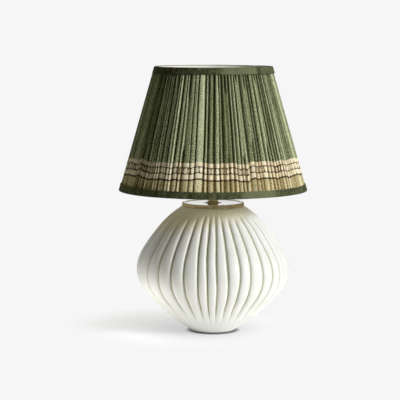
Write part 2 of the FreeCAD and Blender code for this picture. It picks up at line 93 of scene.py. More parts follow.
class Wiring:
    """The nodes of a world or a material. Inputs are numbers, colours or another node's output."""

    def __init__(self, owner, output=None):
        """Start from an empty tree with the output that is named, or else from Blender's own."""
        owner.use_nodes = True
        self.tree = owner.node_tree
        if output:
            self.tree.nodes.clear()
            self.surface = self.tree.nodes.new("ShaderNode" + output).inputs["Surface"]

    def put(self, socket, value):
        """Link another node's output to a socket, or set the socket to a value."""
        if isinstance(value, bpy.types.NodeSocket):
            self.tree.links.new(value, socket)
        else:
            socket.default_value = value

    def node(self, kind, values, output=0, **settings):
        """Add a node, set its settings, and link or set its inputs by name or number."""
        made = self.tree.nodes.new("ShaderNode" + kind)
        for setting, value in settings.items():
            setattr(made, setting, value)
        for socket, value in values.items():
            self.put(made.inputs[socket], value)
        return made.outputs[output]

    def math(self, operation, *values, **settings):
        return self.node("Math", dict(enumerate(values)), operation=operation, **settings)

    def part(self, vector, axis):
        return self.node("SeparateXYZ", {"Vector": vector}, axis)

    def away(self, point, centre):
        """How far a point is from a centre."""
        return self.node("VectorMath", {0: point, 1: centre}, "Value", operation="DISTANCE")

    def ramp(self, value, low, high, bottom=0.0, top=1.0, bow="LINEAR"):
        """From bottom to top as the value goes from low to high, and level beyond."""
        values = {"Value": value, "From Min": low, "From Max": high, "To Min": bottom, "To Max": top}
        return self.node("MapRange", values, interpolation_type=bow)

    def span(self, *places):
        """A ramp with soft ends."""
        return self.ramp(*places, bow="SMOOTHSTEP")

    def mix(self, share, first, second, blend="MIX"):
        values = {0: share, 6: first, 7: second}
        return self.node("Mix", values, 2, data_type="RGBA", blend_type=blend)

    def ray(self, kind):
        """One for rays of a kind, such as Camera, and nothing for all others."""
        return self.node("LightPath", {}, "Is " + kind + " Ray")

    def choice(self, share, first, second):
        """The first shader where the share is nothing, the second where it is one."""
        return self.node("MixShader", {0: share, 1: first, 2: second})

    def both(self, first, second):
        return self.node("AddShader", {0: first, 1: second})

    def glow(self, colour, strength):
        return self.node("Emission", {"Color": colour, "Strength": strength})

    def matt(self, colour):
        return self.node("BsdfDiffuse", {"Color": colour})


print("wiring is ready")

# %% [markdown]
# The light is one broad soft source from the right, rather low, as from a large window in a dim
# room. A sun lamp with a wide angle is such a source: it is equally strong everywhere, so the
# floor stays even, and its shadows have soft edges. The world fills the shadows a little, less
# from the left than from the right, which keeps the left side dark. Rays that see the world
# directly, or in a gloss, find the pale studio, so the background is plain.

# %% Key light
key_side = math.radians(56)
key_height = math.radians(22)
key_strength = 3.2
key_angle = math.radians(22)
fill_colour = (0.108, 0.096, 0.045, 1)
fill_left = 0.30
fill_right = 1.70
studio_colour = (0.922, 0.922, 0.922, 1)

key_data = bpy.data.lights.new("key", "SUN")
key_data.energy = key_strength
key_data.angle = key_angle
key = added("key", key_data)
towards_right = math.sin(key_side) * math.cos(key_height)
towards_camera = math.cos(key_side) * math.cos(key_height)
towards_key = Vector((towards_right, -towards_camera, math.sin(key_height)))
key.rotation_euler = towards_key.to_track_quat("Z", "Y").to_euler()

print("key light from", [round(v, 3) for v in towards_key])

# %% World
world = bpy.data.worlds.new("studio")
scene.world = world
sky = Wiring(world, "OutputWorld")
seen_or_gloss = sky.math("ADD", sky.ray("Camera"), sky.ray("Glossy"))
shown = sky.math("ADD", seen_or_gloss, sky.ray("Transmission"), use_clamp=True)
sideways = sky.part(sky.node("TexCoord", {}, "Generated"), "X")
fill_strength = sky.ramp(sideways, -1.0, 1.0, fill_left, fill_right)
filling = sky.node("Background", {"Color": fill_colour, "Strength": fill_strength})
studio = sky.node("Background", {"Color": studio_colour})
sky.put(sky.surface, sky.choice(shown, filling, studio))
print("world nodes", len(world.node_tree.nodes))

# %% [markdown]
# The floor is a plain pale sweep of paper. For the camera its own colour answers to the sun, so
# it keeps the soft shadow, and a little glow brings it level with the background. Two occlusion
# nodes darken it at the foot, one wide and faint, one close and deep, and away from the shadow it
# fades into the plain tone of the studio. For all other rays it is a sweep about a metre wide
# that throws light back, shines a little near the lamp as paper does that is lit from the side,
# and carries a bright card at the left, which lifts the shaded side of the base. From below it is
# clear, so that the foot can be looked at.

# %% Floor
floor_half = 30.0
floor_drop = 0.0002
floor_seen = (0.78, 0.7996, 0.8952, 1)
floor_glow = (0.5401, 0.5401, 0.5401, 1)
nook_reach = 0.075
touch_reach = 0.008
touch_depth = 1.1
shadow_centre = (-0.065, 0.03, 0.0)
shadow_full = 0.03
shadow_gone = 0.24
floor_bounce = (0.80, 0.80, 0.80, 1)
floor_far = (0.10, 0.10, 0.10, 1)
bounce_full = 0.28
bounce_gone = 0.58
floor_lift = (0.64, 0.63, 0.59, 1)
lift_start = 0.02
lift_near = 0.16
card_lift = (2.15, 2.11, 1.94, 1)
card_centre = (-0.36, -0.14, 0.0)
card_full = 0.12
card_gone = 0.26

floor_mesh = bpy.data.meshes.new("floor")
floor_corners = [(-1, -1), (1, -1), (1, 1), (-1, 1)]
floor_points = [(x * floor_half, y * floor_half, -floor_drop) for x, y in floor_corners]
floor_mesh.from_pydata(floor_points, [], [(0, 1, 2, 3)])
floor = added("floor", floor_mesh)

print("floor half width", floor_half)

# %% Paper: the light that it throws
paper = bpy.data.materials.new("paper_sweep")
sweep = Wiring(paper, "OutputMaterial")
spot = sweep.node("TexCoord", {}, "Object")
from_lamp = sweep.away(spot, (0, 0, 0))
beyond = sweep.ramp(from_lamp, bounce_full, bounce_gone)
bounced = sweep.matt(sweep.mix(beyond, floor_bounce, floor_far))
lift_share = sweep.math("SUBTRACT", sweep.ramp(from_lamp, lift_start, lift_near), beyond)
card_share = sweep.ramp(sweep.away(spot, card_centre), card_full, card_gone, 1.0, 0.0)
lifts = sweep.both(sweep.glow(floor_lift, lift_share), sweep.glow(card_lift, card_share))
thrown = sweep.both(bounced, lifts)

print("paper throws light out to", bounce_gone)

# %% Paper: what the camera sees
nook = sweep.node("AmbientOcclusion", {"Color": floor_seen, "Distance": nook_reach}, "Color")
touching = sweep.node("AmbientOcclusion", {"Distance": touch_reach}, "AO")
dimmed = sweep.math("POWER", touching, touch_depth)
shadowed = sweep.both(sweep.matt(nook), sweep.glow(floor_glow, dimmed))
past_shadow = sweep.span(sweep.away(spot, shadow_centre), shadow_full, shadow_gone)
seen = sweep.choice(past_shadow, shadowed, sweep.glow(studio_colour, dimmed))

upper_side = sweep.choice(sweep.ray("Camera"), thrown, seen)
underside = sweep.node("NewGeometry", {}, "Backfacing")
sweep.put(sweep.surface, sweep.choice(underside, upper_side, sweep.node("BsdfTransparent", {})))
floor_mesh.materials.append(paper)
print("paper nodes", len(paper.node_tree.nodes))

# %% [markdown]
# Every new piece is a skin: a grid of points that a formula places, rows along the piece and
# columns round it. One function turns any such grid into a mesh. A row can close on itself, as
# on anything turned, and so can the columns, as on a ring. Where a row shrinks to one point, as
# at the crown of a bulb, its points are merged so that the skin has no hole.

# %% Skin: from a grid of points to a mesh
weld_distance = 0.000002


def skin(name, grid, ring=True, loop=False, uv=None, marks=None, weld=False):
    """Grid point (i, j) joins (i, j + 1) and (i + 1, j); the last joins the first where ring or
    loop is true. Columns running anticlockwise and rows running up give outward faces."""
    rows, columns = grid.shape[:2]
    i = np.arange(rows if loop else rows - 1)[:, None]
    j = np.arange(columns if ring else columns - 1)[None, :]
    i = i + np.zeros_like(j)
    j = j + np.zeros_like(i)
    corners_i = np.stack([i, i, i + 1, i + 1], axis=-1)
    corners_j = np.stack([j, j + 1, j + 1, j], axis=-1)
    quads = ((corners_i % rows) * columns + corners_j % columns).reshape(-1)
    mesh = bpy.data.meshes.new(name)
    mesh.vertices.add(rows * columns)
    mesh.vertices.foreach_set("co", grid.reshape(-1).astype(np.float32))
    mesh.loops.add(len(quads))
    mesh.loops.foreach_set("vertex_index", quads.astype(np.int32))
    mesh.polygons.add(len(quads) // 4)
    mesh.polygons.foreach_set("loop_start", np.arange(0, len(quads), 4, dtype=np.int32))
    mesh.update(calc_edges=True)
    mesh.shade_smooth()
    if uv is not None:
        layer = mesh.uv_layers.new(name="cloth")
        layer.data.foreach_set("uv", uv[corners_i, corners_j].reshape(-1).astype(np.float32))
    for mark, values in (marks or {}).items():
        attribute = mesh.attributes.new(mark, "FLOAT", "POINT")
        attribute.data.foreach_set("value", values.reshape(-1).astype(np.float32))
    if weld:
        work = bmesh.new()
        work.from_mesh(mesh)
        bmesh.ops.remove_doubles(work, verts=work.verts, dist=weld_distance)
        work.to_mesh(mesh)
        work.free()
    mesh.validate()
    return added(name, mesh)


def fit(piece, body, slot, finish, *nodes):
    """Give a piece its finish, and let it ride on a body in place of its CAD nodes."""
    piece.data.materials.append(finish)
    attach(piece, body)
    if nodes:
        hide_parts(*nodes)
    print(piece.name, "on", body, "faces", len(piece.data.polygons))
    return piece


print("skin and fit are ready")

# %% [markdown]
# Most pieces of a lamp are turned on a lathe or drawn in a round die. Their outline is a few
# corners in radius and height, and a real edge is never quite sharp, so each corner is softened
# into a small bow. The outline then turns about the axis. A swell can lift the surface on its
# way round, for a screw thread or a knurl. The same few kinds of outline come back again and
# again, so each has a function: the four corners of a plain ring, a straight run and an arc.

# %% Lathe: softened corners


def softened(corners, bow, steps=3, loop=True):
    """Cut each corner back by the bow and bridge it with a parabola whose control point is the
    corner: (1 - s)^2 a + 2 s (1 - s) corner + s^2 b, with one more point beyond each end."""
    corners = np.asarray(corners, float)
    before = np.roll(corners, 1, axis=0) - corners
    after = np.roll(corners, -1, axis=0) - corners
    before_length = np.linalg.norm(before, axis=1)[:, None]
    after_length = np.linalg.norm(after, axis=1)[:, None]
    bow = np.broadcast_to(np.asarray(bow, float).reshape(-1, 1), before_length.shape)
    a = corners + before / before_length * np.minimum(bow, before_length * 0.3)
    b = corners + after / after_length * np.minimum(bow, after_length * 0.3)
    s = np.linspace(0, 1, steps + 1)[None, :, None]
    curve = (1 - s) ** 2 * a[:, None] + 2 * s * (1 - s) * corners[:, None] + s**2 * b[:, None]
    first = corners + (a - corners) * 1.5
    last = corners + (b - corners) * 1.5
    points = np.concatenate([first[:, None], curve, last[:, None]], axis=1)
    if loop:
        return points.reshape(-1, 2)
    inner = points[1:-1].reshape(-1, 2)
    return np.concatenate([corners[:1], inner, corners[-1:]])


print("softened square", softened([(0, 0), (1, 0), (1, 1), (0, 1)], 0.1).shape)

# %% Lathe: the usual outlines


def block(inner, outer, low, high):
    """The outline of a plain ring or disc: its four corners, from the lower inner one on."""
    return np.array([(inner, low), (outer, low), (outer, high), (inner, high)])


def straight(radius, levels):
    """Points at one radius, straight up the levels."""
    return np.stack([np.full(len(levels), radius), levels], axis=1)


def arc(centre, size, start, end, steps):
    """Points at centre + size (cos t, sin t), where a size of two numbers gives an ellipse."""
    t = np.linspace(start, end, steps)[:, None]
    return np.array(centre) + np.array(size) * np.concatenate([np.cos(t), np.sin(t)], axis=1)


print("plain ring", block(1, 2, 0, 1).tolist())

# %% Lathe: grids that turn


def round_grid(radius, turn, level):
    """The point at a radius r, a turn t and a level z is (r cos t, r sin t, z)."""
    return np.stack(np.broadcast_arrays(radius * np.cos(turn), radius * np.sin(turn), level), axis=-1)


def turned_grid(outline, columns, swell=None):
    """Point (r, z) of the outline at turn t goes to ((r + swell) cos t, (r + swell) sin t, z)."""
    turn = np.arange(columns)[None, :] * full_turn / columns
    radius = np.repeat(outline[:, :1], columns, axis=1)
    level = np.repeat(outline[:, 1:], columns, axis=1)
    if swell is not None:
        radius = radius + swell(turn, level, radius)
    return round_grid(radius, turn, level)


def lathe(name, outline, columns=96, loop=True, swell=None, marks=None):
    """A ring where the outline is a loop; otherwise a body whose outline ends on the axis."""
    return skin(name, turned_grid(outline, columns, swell), loop=loop, marks=marks, weld=not loop)


def aimed(grid, start, end):
    """Move a grid drawn about the Z axis so that its axis runs from start towards end."""
    along = Vector(end) - Vector(start)
    turn = np.array(along.to_track_quat("Z", "Y").to_matrix())
    return grid @ turn.T + np.array(start)


print("a turned ring has", turned_grid(block(1, 2, 0, 1), 8).shape[:2], "rows and columns")

# %% [markdown]
# Finishes are written as short recipes. A recipe is the wiring of one material, and it reads as
# the list of things that make up the surface: threads, stains, scratches. Patterns are read from
# the object's own coordinates in metres, or from the cloth's own map where they follow the weave.
# The plainest finishes are only two tones of one colour, so one function makes them all.

# %% Recipe: a short way to write materials


class Recipe(Wiring):
    """The wiring of one material, with methods for what a finish is made of."""

    def __init__(self, name):
        self.material = bpy.data.materials.new(name)
        super().__init__(self.material)
        self.shader = self.tree.nodes["Principled BSDF"]

    def place(self, stretch=(1, 1, 1)):
        """The object's own coordinates, stretched along X, Y and Z."""
        point = self.node("TexCoord", {}, "Object")
        return self.node("Mapping", {"Vector": point, "Scale": stretch})

    def cloth(self, stretch=(1, 1, 1)):
        """The place on the cloth: across the threads in X and up the cloth in Y, in metres."""
        point = self.node("UVMap", {}, uv_map="cloth")
        return self.node("Mapping", {"Vector": point, "Scale": stretch})

    def mark(self, name):
        return self.node("Attribute", {}, "Fac", attribute_name=name)

    def noise(self, point, scale, detail=2.0, roughness=0.5):
        values = {"Vector": point, "Scale": scale, "Detail": detail, "Roughness": roughness}
        return self.node("TexNoise", values)

    def cells(self, point, scale):
        return self.node("TexVoronoi", {"Vector": point, "Scale": scale}, "Distance")

    def add(self, first, second):
        return self.math("ADD", first, second)

    def less(self, first, second):
        return self.math("SUBTRACT", first, second)

    def times(self, first, second):
        return self.math("MULTIPLY", first, second)

    def stir(self, value, pattern, share):
        """Move a value up and down by a pattern: value + (pattern - 0.5) share."""
        return self.add(value, self.times(self.less(pattern, 0.5), share))

    def band(self, value, low, high, soft):
        """One between low and high, nothing outside, with edges as wide as soft."""
        rise = self.span(value, low - soft / 2, low + soft / 2)
        fall = self.span(value, high - soft / 2, high + soft / 2, 1.0, 0.0)
        return self.times(rise, fall)

    def bump(self, height, distance, normal=None, strength=1.0):
        values = {"Height": height, "Distance": distance, "Strength": strength}
        if normal is not None:
            values["Normal"] = normal
        return self.node("Bump", values)

    def done(self, **sockets):
        """Link or set the shader's own sockets, named with _ for a space."""
        for socket, value in sockets.items():
            self.put(self.shader.inputs[socket.replace("_", " ")], value)
        return self.material


print("recipes are ready")

# %% Two tones: the plainest finish


def two_tone(name, dark, pale, scale, detail=2.0, fine=0.5, sharp=False, flat=1, relief=0, **sockets):
    """Two tones laid by a cloudy noise, which may also be sharpened, be pressed flat along Z and
    lift the surface."""
    recipe = Recipe(name)
    clouds = recipe.noise(recipe.place((1, 1, flat)), scale, detail, fine)
    if relief:
        sockets["Normal"] = recipe.bump(clouds, relief)
    share = recipe.span(clouds, 0.3, 0.7) if sharp else clouds
    return recipe.done(Base_Color=recipe.mix(share, dark, pale), **sockets)


print("two_tone is ready")

# %% [markdown]
# The base is thrown stoneware, carved into ribs with a bent tool while leather hard, then dipped
# in a white satin glaze. The glaze breaks thin on the bare rim, where the clay burns brown, and
# pools grey in the cuts, where painted shade of the cuts darkens it further. The outline is a
# smooth curve through a dozen places, so a natural spline draws it.

# %% Outline of the base
body_low, body_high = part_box("ceramic_body")
belly_radius = (body_high.x - body_low.x) / 2
rim_level = body_high.z
foot_level = body_low.z
foot_shares = [(0.2875, 0.0083), (0.4025, 0.0560), (0.5175, 0.1036), (0.6517, 0.1657)]
belly_shares = [(0.7966, 0.2486), (0.9180, 0.3314), (0.9846, 0.4142), (1.0, 0.4888), (0.9677, 0.58)]
shoulder_shares = [(0.8955, 0.6628), (0.7987, 0.7457), (0.6886, 0.8285), (0.5456, 0.9114), (0.4040, 0.9722)]
outer_rows = 96


def spline(knots, count):
    """Natural cubic spline: the chord length is the parameter, and the bend at each knot is
    solved so that slope and bend run on, with no bend at the two ends."""
    knots = np.asarray(knots, float)
    gaps = np.linalg.norm(np.diff(knots, axis=0), axis=1)
    last = len(knots) - 1
    inner = np.arange(1, last)
    system = np.eye(last + 1)
    system[inner, inner - 1] = gaps[:-1]
    system[inner, inner] = 2 * (gaps[:-1] + gaps[1:])
    system[inner, inner + 1] = gaps[1:]
    slopes = np.diff(knots, axis=0) / gaps[:, None]
    wanted = np.zeros_like(knots)
    wanted[1:-1] = 6 * np.diff(slopes, axis=0)
    bends = np.linalg.solve(system, wanted)
    places = np.concatenate([[0], np.cumsum(gaps)])
    t = np.linspace(0, places[-1], count)
    k = np.clip(np.searchsorted(places, t, side="right") - 1, 0, last - 1)
    h = gaps[k][:, None]
    a = (places[k + 1] - t)[:, None] / h
    b = 1 - a
    bow = (a**3 - a) * bends[k] + (b**3 - b) * bends[k + 1]
    return a * knots[k] + b * knots[k + 1] + bow * h**2 / 6


outline_shares = np.array(foot_shares + belly_shares + shoulder_shares)
outer_wall = spline(outline_shares * (belly_radius, rim_level), outer_rows)
print("belly radius", round(belly_radius, 4), "rim level", round(rim_level, 4))

# %% [markdown]
# Above the curve stands a low lip with soft edges, and inside it a recessed top with the hole
# for the stem. Below, the wall turns in to the foot ring. The inside follows the outside at the
# thickness of the wall. Together they make one closed loop, so the base is a real vessel.

# %% Lip and recess
wall = 0.006
lip_radius = 0.0580
lip_bottom = 0.2350
lip_bow = 0.0007
lip_lean = 0.0002
rim_radius = 0.0566
rim_width = 0.0045
rim_drop = 0.0016
recess_depth = 0.0030
dish_edge = 0.0009
dish_lean = 0.0003
dish_slope_from = 0.0165
dish_slope_to = 0.0128
stem_hole_radius = 0.0055
glaze_line = 0.0031
foot_opening_radius = 0.027
foot_turn_in = 0.048
foot_bow = 0.0006
board_recess_radius = 0.032
board_recess_depth = 0.0025
inner_rows = 12
inner_from_top = 6
inner_from_foot = 12
hair = 0.0001

disc_top = rim_level - recess_depth
disc_underside = disc_top - wall
disc_radius = rim_radius - rim_width
lip_corners = [
    (outer_wall[-1, 0] - hair, outer_wall[-1, 1] + hair),
    (lip_radius, lip_bottom + 4 * hair),
    (lip_radius - lip_lean, rim_level - rim_drop),
    (rim_radius, rim_level),
    (disc_radius, rim_level),
    (disc_radius - dish_lean, rim_level - dish_edge),
    (dish_slope_from, rim_level - dish_edge - dish_lean),
    (dish_slope_to, disc_top),
    (stem_hole_radius, disc_top),
    (stem_hole_radius, disc_underside),
    (disc_radius, disc_underside),
]
print("recess", recess_depth, "deep, disc", round(disc_radius, 4), "in radius")

# %% The loop of the vessel
lip = softened(lip_corners, lip_bow)
lip_bare = (lip[:, 1] > lip_bottom - 10 * hair) & (lip[:, 0] > disc_radius + glaze_line + hair)
lip_pool = (lip[:, 1] > disc_top - 2 * hair) & (lip[:, 0] < disc_radius + glaze_line - hair)
steps = np.diff(outer_wall, axis=0, append=outer_wall[-1:] * 2 - outer_wall[-2:-1])
outward = np.stack([steps[:, 1], -steps[:, 0]], axis=1)
outward /= np.linalg.norm(outward, axis=1)[:, None]
inside_picks = np.linspace(outer_rows - inner_from_top, inner_from_foot, inner_rows).astype(int)
inner_wall = outer_wall[inside_picks] - outward[inside_picks] * wall
foot_corners = [
    (foot_turn_in, foot_level + wall),
    (foot_opening_radius, foot_level + wall),
    (foot_opening_radius, foot_level + board_recess_depth),
    (board_recess_radius, foot_level + board_recess_depth),
    (board_recess_radius, foot_level),
    (outer_wall[0, 0] - foot_bow, foot_level),
]
foot = softened(foot_corners, foot_bow)
body_outline = np.concatenate([outer_wall, lip, inner_wall, foot])
print("rows in the loop", len(body_outline))

# %% [markdown]
# The ribs are as uneven as a hand makes them: broad on the left, narrow at the front. Each cut
# wanders a little, has its own depth, and runs out to a point at its own height. The mesh has a
# column exactly on each cut, so the bottom of the cut stays a crisp line, and more columns close
# to it than on the crown of the rib.

# %% Sizes of the ribs
rib_seed = 11
rib_columns = 14
first_cut = math.radians(-165)
front_rib_shares = (1.60, 1.28, 1.22, 1.07, 0.99, 0.72, 0.71, 0.80, 0.87, 0.91, 1.06, 0.95, 1.05, 0.87)
back_rib_shares = (1.04, 0.93, 1.08, 0.96, 1.02, 0.91, 1.03) * 3
cut_depth = 0.0029
cut_half_width = 0.0047
cut_wander = 0.0011
cut_top = 0.2235
cut_bottom = 0.022
cut_run_out_top = 0.011
cut_run_out_bottom = 0.050
cut_point_share = 0.35
slow_sway = 26
quick_sway = 61
top_scatter = (-0.005, 0.004)
bottom_scatter = (-0.004, 0.005)
depth_scatter = (0.88, 1.1)
broadness_scatter = (0.9, 1.1)
crown = 0.0019
column_crowding = 1.5
half_width_limit = 0.46
least = 1e-9

print("cuts from", cut_bottom, "to", cut_top)

# %% Ribs: where each cut runs
rng = np.random.default_rng(rib_seed)
rib_shares = np.array(front_rib_shares + back_rib_shares)
rib_count = len(rib_shares)
cut_angles = first_cut + np.concatenate([[0], np.cumsum(rib_shares)]) * full_turn / rib_shares.sum()
half = 0.5 * (np.arange(rib_columns // 2 + 1) / (rib_columns // 2)) ** column_crowding
within = np.concatenate([half, 1 - half[1:-1][::-1]])

radius = body_outline[:, 0][:, None]
level = body_outline[:, 1][:, None]


def round_again(values):
    """Repeat the first cut's value at the end, for the rib that closes the ring."""
    return np.concatenate([values, values[:, :1]], axis=1)


phases = rng.uniform(0, full_turn, (2, rib_count))
sway = np.sin(level * slow_sway + phases[0]) + 0.5 * np.sin(level * quick_sway + phases[1])
is_outer = (np.arange(len(body_outline)) < outer_rows)[:, None]
wander = round_again(sway * cut_wander / belly_radius * is_outer)
tops = cut_top + rng.uniform(*top_scatter, rib_count)
bottoms = cut_bottom + rng.uniform(*bottom_scatter, rib_count)
rise = np.clip((level - bottoms) / cut_run_out_bottom, 0, 1)
fall = np.clip((tops - level) / cut_run_out_top, 0, 1)
open_share = np.sin(rise * quarter_turn) * np.sin(fall * quarter_turn) * is_outer
depths = round_again(open_share * cut_depth * rng.uniform(*depth_scatter, rib_count))
narrowing = cut_point_share + (1 - cut_point_share) * np.sqrt(open_share)
widths = round_again(cut_half_width * narrowing * rng.uniform(*broadness_scatter, rib_count))
spans = np.diff(cut_angles + wander, axis=1)
print("ribs", rib_count)

# %% Ribs: the carved grid


def cut_profile(distance, width):
    """How deep the cut is at a distance from its line: 1 - sin of the share of its half width."""
    return 1 - np.sin(np.clip(distance / width, 0, 1) * quarter_turn)


def over_ribs(values):
    """Spread one value a rib over the columns of that rib."""
    return np.repeat(values, rib_columns, axis=1)


share = np.tile(within, rib_count)[None, :]
turn = over_ribs((cut_angles + wander)[:, :-1]) + share * over_ribs(spans)
rib_width = over_ribs(spans) * radius
left_width = np.minimum(over_ribs(widths[:, :-1]), rib_width * half_width_limit) + least
right_width = np.minimum(over_ribs(widths[:, 1:]), rib_width * half_width_limit) + least
left_cut = cut_profile(share * rib_width, left_width) * over_ribs(depths[:, :-1])
right_cut = cut_profile((1 - share) * rib_width, right_width) * over_ribs(depths[:, 1:])
crowning = crown * (2 * share - 1) ** 2 * over_ribs(open_share)
sunk = left_cut + right_cut + crowning
normals = np.zeros_like(body_outline)
normals[:outer_rows] = outward
body_grid = round_grid(radius - sunk * normals[:, :1], turn, level - sunk * normals[:, 1:])


print("deepest cut", round(float(sunk.max()), 5))

# %% The base as a mesh


def on_lip(values):
    """A mark with one value a row on the lip, and nothing elsewhere."""
    rows = np.zeros((len(body_outline), 1))
    rows[outer_rows : outer_rows + len(lip), 0] = values
    return np.repeat(rows, turn.shape[1], axis=1)


# the cut mark also lays out the painted shade of the cuts in the glaze
cut_mark = np.clip((left_cut + right_cut + 0.5 * crowning) / cut_depth, 0, 1)
marks = {"cut": cut_mark, "bare": on_lip(lip_bare), "wet": on_lip(lip_pool)}
ribbed_body = skin("ribbed_body", body_grid, loop=True, marks=marks)
print("base has", len(ribbed_body.data.vertices), "points")

# %% [markdown]
# The cord leaves through the straight part of the wall low at the back, so a round hole is bored
# there, square to the wall, for its bush. A boolean with a plain cylinder does what the drill
# does. The result is kept as a plain mesh.

# %% Hole for the cord
straight_rows = 4
bush_seat = np.array([0, 0.06396, 0.0181])
bush_hole_radius = 0.0051
drill_reach = 0.012

wall_run, wall_rise = outer_wall[straight_rows] - outer_wall[0]
wall_slope = math.atan2(wall_rise, wall_run)
bush_out = np.array([0, math.sin(wall_slope), -math.cos(wall_slope)])
drill_outline = block(0, bush_hole_radius, 0, 2 * drill_reach)
drill_ends = (bush_seat - bush_out * drill_reach, bush_seat + bush_out * drill_reach)
drill = skin("drill", aimed(turned_grid(drill_outline, 48), *drill_ends), weld=True)
boring = ribbed_body.modifiers.new("boring", "BOOLEAN")
boring.object = drill
boring.operation = "DIFFERENCE"
boring.solver = "EXACT"
evaluated = ribbed_body.evaluated_get(bpy.context.evaluated_depsgraph_get())
bored = bpy.data.meshes.new_from_object(evaluated)
ribbed_body.modifiers.clear()
ribbed_body.data = bored
bpy.data.objects.remove(drill)
print("bored body has", len(bored.polygons), "faces; wall slope", round(math.degrees(wall_slope), 2))

# %% [markdown]
# The glaze is a white that is never quite even: a soft mottle, a few iron specks, faint rings
# from the wheel, and a skin of tiny dimples that takes the hardness off its shine. The cuts hold
# a warm grey: glaze pooled in them, and painted shade in and beside them. Towards the shoulder a
# warm cream is painted shade, in place of the shadow that the shade casts there, and it reaches
# lower at the left, where that shadow falls farther. The bare lip is toasted clay, with paler
# patches where glaze clings, and the recess inside it is wet and glossy with pooled glaze.

# %% Glaze and bare clay: tones and heights
glaze_white = (0.80, 0.81, 0.81, 1)
glaze_shade = (0.76, 0.77, 0.755, 1)
# glaze pooled in the cuts, and painted shade of the cuts
pooled_glaze_and_shade = (0.50, 0.51, 0.385, 1)
# painted shade: a warm cream that stands for the shade's shadow on the shoulder
shoulder_shade_tint = (0.82, 0.765, 0.535, 1)
pool_and_shade_from = 0.45
pool_and_shade_to = 1.08
shoulder_shade_from = 0.197
shoulder_shade_to = 0.230
shoulder_shade_lean = 0.20
shoulder_shade_stray = 0.006
shoulder_shade_most = 0.9
speck_brown = (0.36, 0.29, 0.20, 1)
clay_brown = (0.63, 0.495, 0.25, 1)
clay_pale = (0.86, 0.74, 0.50, 1)
ring_height = 0.00025
dimple_height = 0.00009
clay_height = 0.0006
glaze_rough = 0.50
clay_rough = 0.78
wet_smoother = 0.44

# the painted shoulder shade runs between these heights
print("glaze thins from", shoulder_shade_from, "to", shoulder_shade_to)

# %% Glaze: its colour
glaze = Recipe("white_glaze")
point = glaze.place()
mottle = glaze.noise(point, 22.0, 4.0, 0.6)
colour = glaze.mix(glaze.span(mottle, 0.35, 0.7), glaze_white, glaze_shade)
# the cuts and a band beside them take an olive grey: pooled glaze and painted shade
cut_pool_and_shade = glaze.span(glaze.add(glaze.mark("cut"), glaze.times(mottle, 0.2)), pool_and_shade_from, pool_and_shade_to)
colour = glaze.mix(cut_pool_and_shade, colour, pooled_glaze_and_shade)
# painted shade on the shoulder, reaching lower at the left, where the shade's shadow falls farther
shoulder_shade_line = glaze.add(glaze.part(point, "Z"), glaze.times(mottle, shoulder_shade_stray))
shoulder_shade_line = glaze.less(shoulder_shade_line, glaze.times(glaze.part(point, "X"), shoulder_shade_lean))
shoulder_shade = glaze.span(shoulder_shade_line, shoulder_shade_from, shoulder_shade_to)
colour = glaze.mix(glaze.times(shoulder_shade, shoulder_shade_most), colour, shoulder_shade_tint)
speck = glaze.span(glaze.cells(point, 210.0), 0.05, 0.12, 1.0, 0.0)
rare = glaze.span(glaze.noise(point, 60.0, 1.0), 0.60, 0.66)
colour = glaze.mix(glaze.times(speck, rare), colour, speck_brown)
patch = glaze.noise(glaze.place((1, 1, 2.5)), 75.0, 5.0, 0.7)
clay = glaze.mix(glaze.span(patch, 0.42, 0.66), clay_brown, clay_pale)
bare = glaze.span(glaze.stir(glaze.mark("bare"), patch, 0.5), 0.35, 0.6)
colour = glaze.mix(bare, colour, clay)
print("glaze colour nodes", len(glaze.tree.nodes))

# %% Glaze: its relief and gloss
rings = glaze.noise(glaze.place((0.03, 0.03, 1)), 420.0, 2.0)
dimples = glaze.noise(point, 520.0, 3.0)
dry = glaze.less(1.0, glaze.mark("wet"))
relief = glaze.bump(rings, ring_height, None, dry)
relief = glaze.bump(dimples, dimple_height, relief, dry)
relief = glaze.bump(glaze.times(patch, bare), clay_height, relief, dry)
roughness = glaze.span(bare, 0.0, 1.0, glaze_rough, clay_rough)
roughness = glaze.less(roughness, glaze.times(glaze.mark("wet"), wet_smoother))
white_glaze = glaze.done(
    Base_Color=colour,
    Roughness=roughness,
    Normal=relief,
    Coat_Weight=glaze.span(dry, 0.0, 1.0, 1.0, 0.06),
    Coat_Roughness=glaze.span(dry, 0.0, 1.0, 0.05, 0.3),
    Specular_IOR_Level=0.4,
)
fit(ribbed_body, "root", "stoneware", white_glaze, "ceramic_body")

# %% [markdown]
# Under the foot lies a disc of pressed felt, cut with soft edges, and behind it a board that
# closes the foot. A round bush of black rubber lines the cord's hole. Its flange bears on the
# wall, and its mouth is rounded, so that a cord would not chafe.

# %% Felt pad
pad_low, pad_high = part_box("foot_pad")
soft_edge = 0.0006
felt_outline = softened(block(0, pad_high.x, pad_low.z, pad_high.z), soft_edge, loop=False)
felt_dark = (0.035, 0.035, 0.03, 1)
felt_pale = (0.13, 0.13, 0.115, 1)
felt_look = {"Roughness": 0.95, "Sheen_Weight": 0.4}
dense_felt = two_tone("dense_felt", felt_dark, felt_pale, 900.0, 5.0, 0.7, True, relief=0.0005, **felt_look)
fit(lathe("felt_pad", felt_outline, 120, loop=False), "root", "felt", dense_felt, "foot_pad")

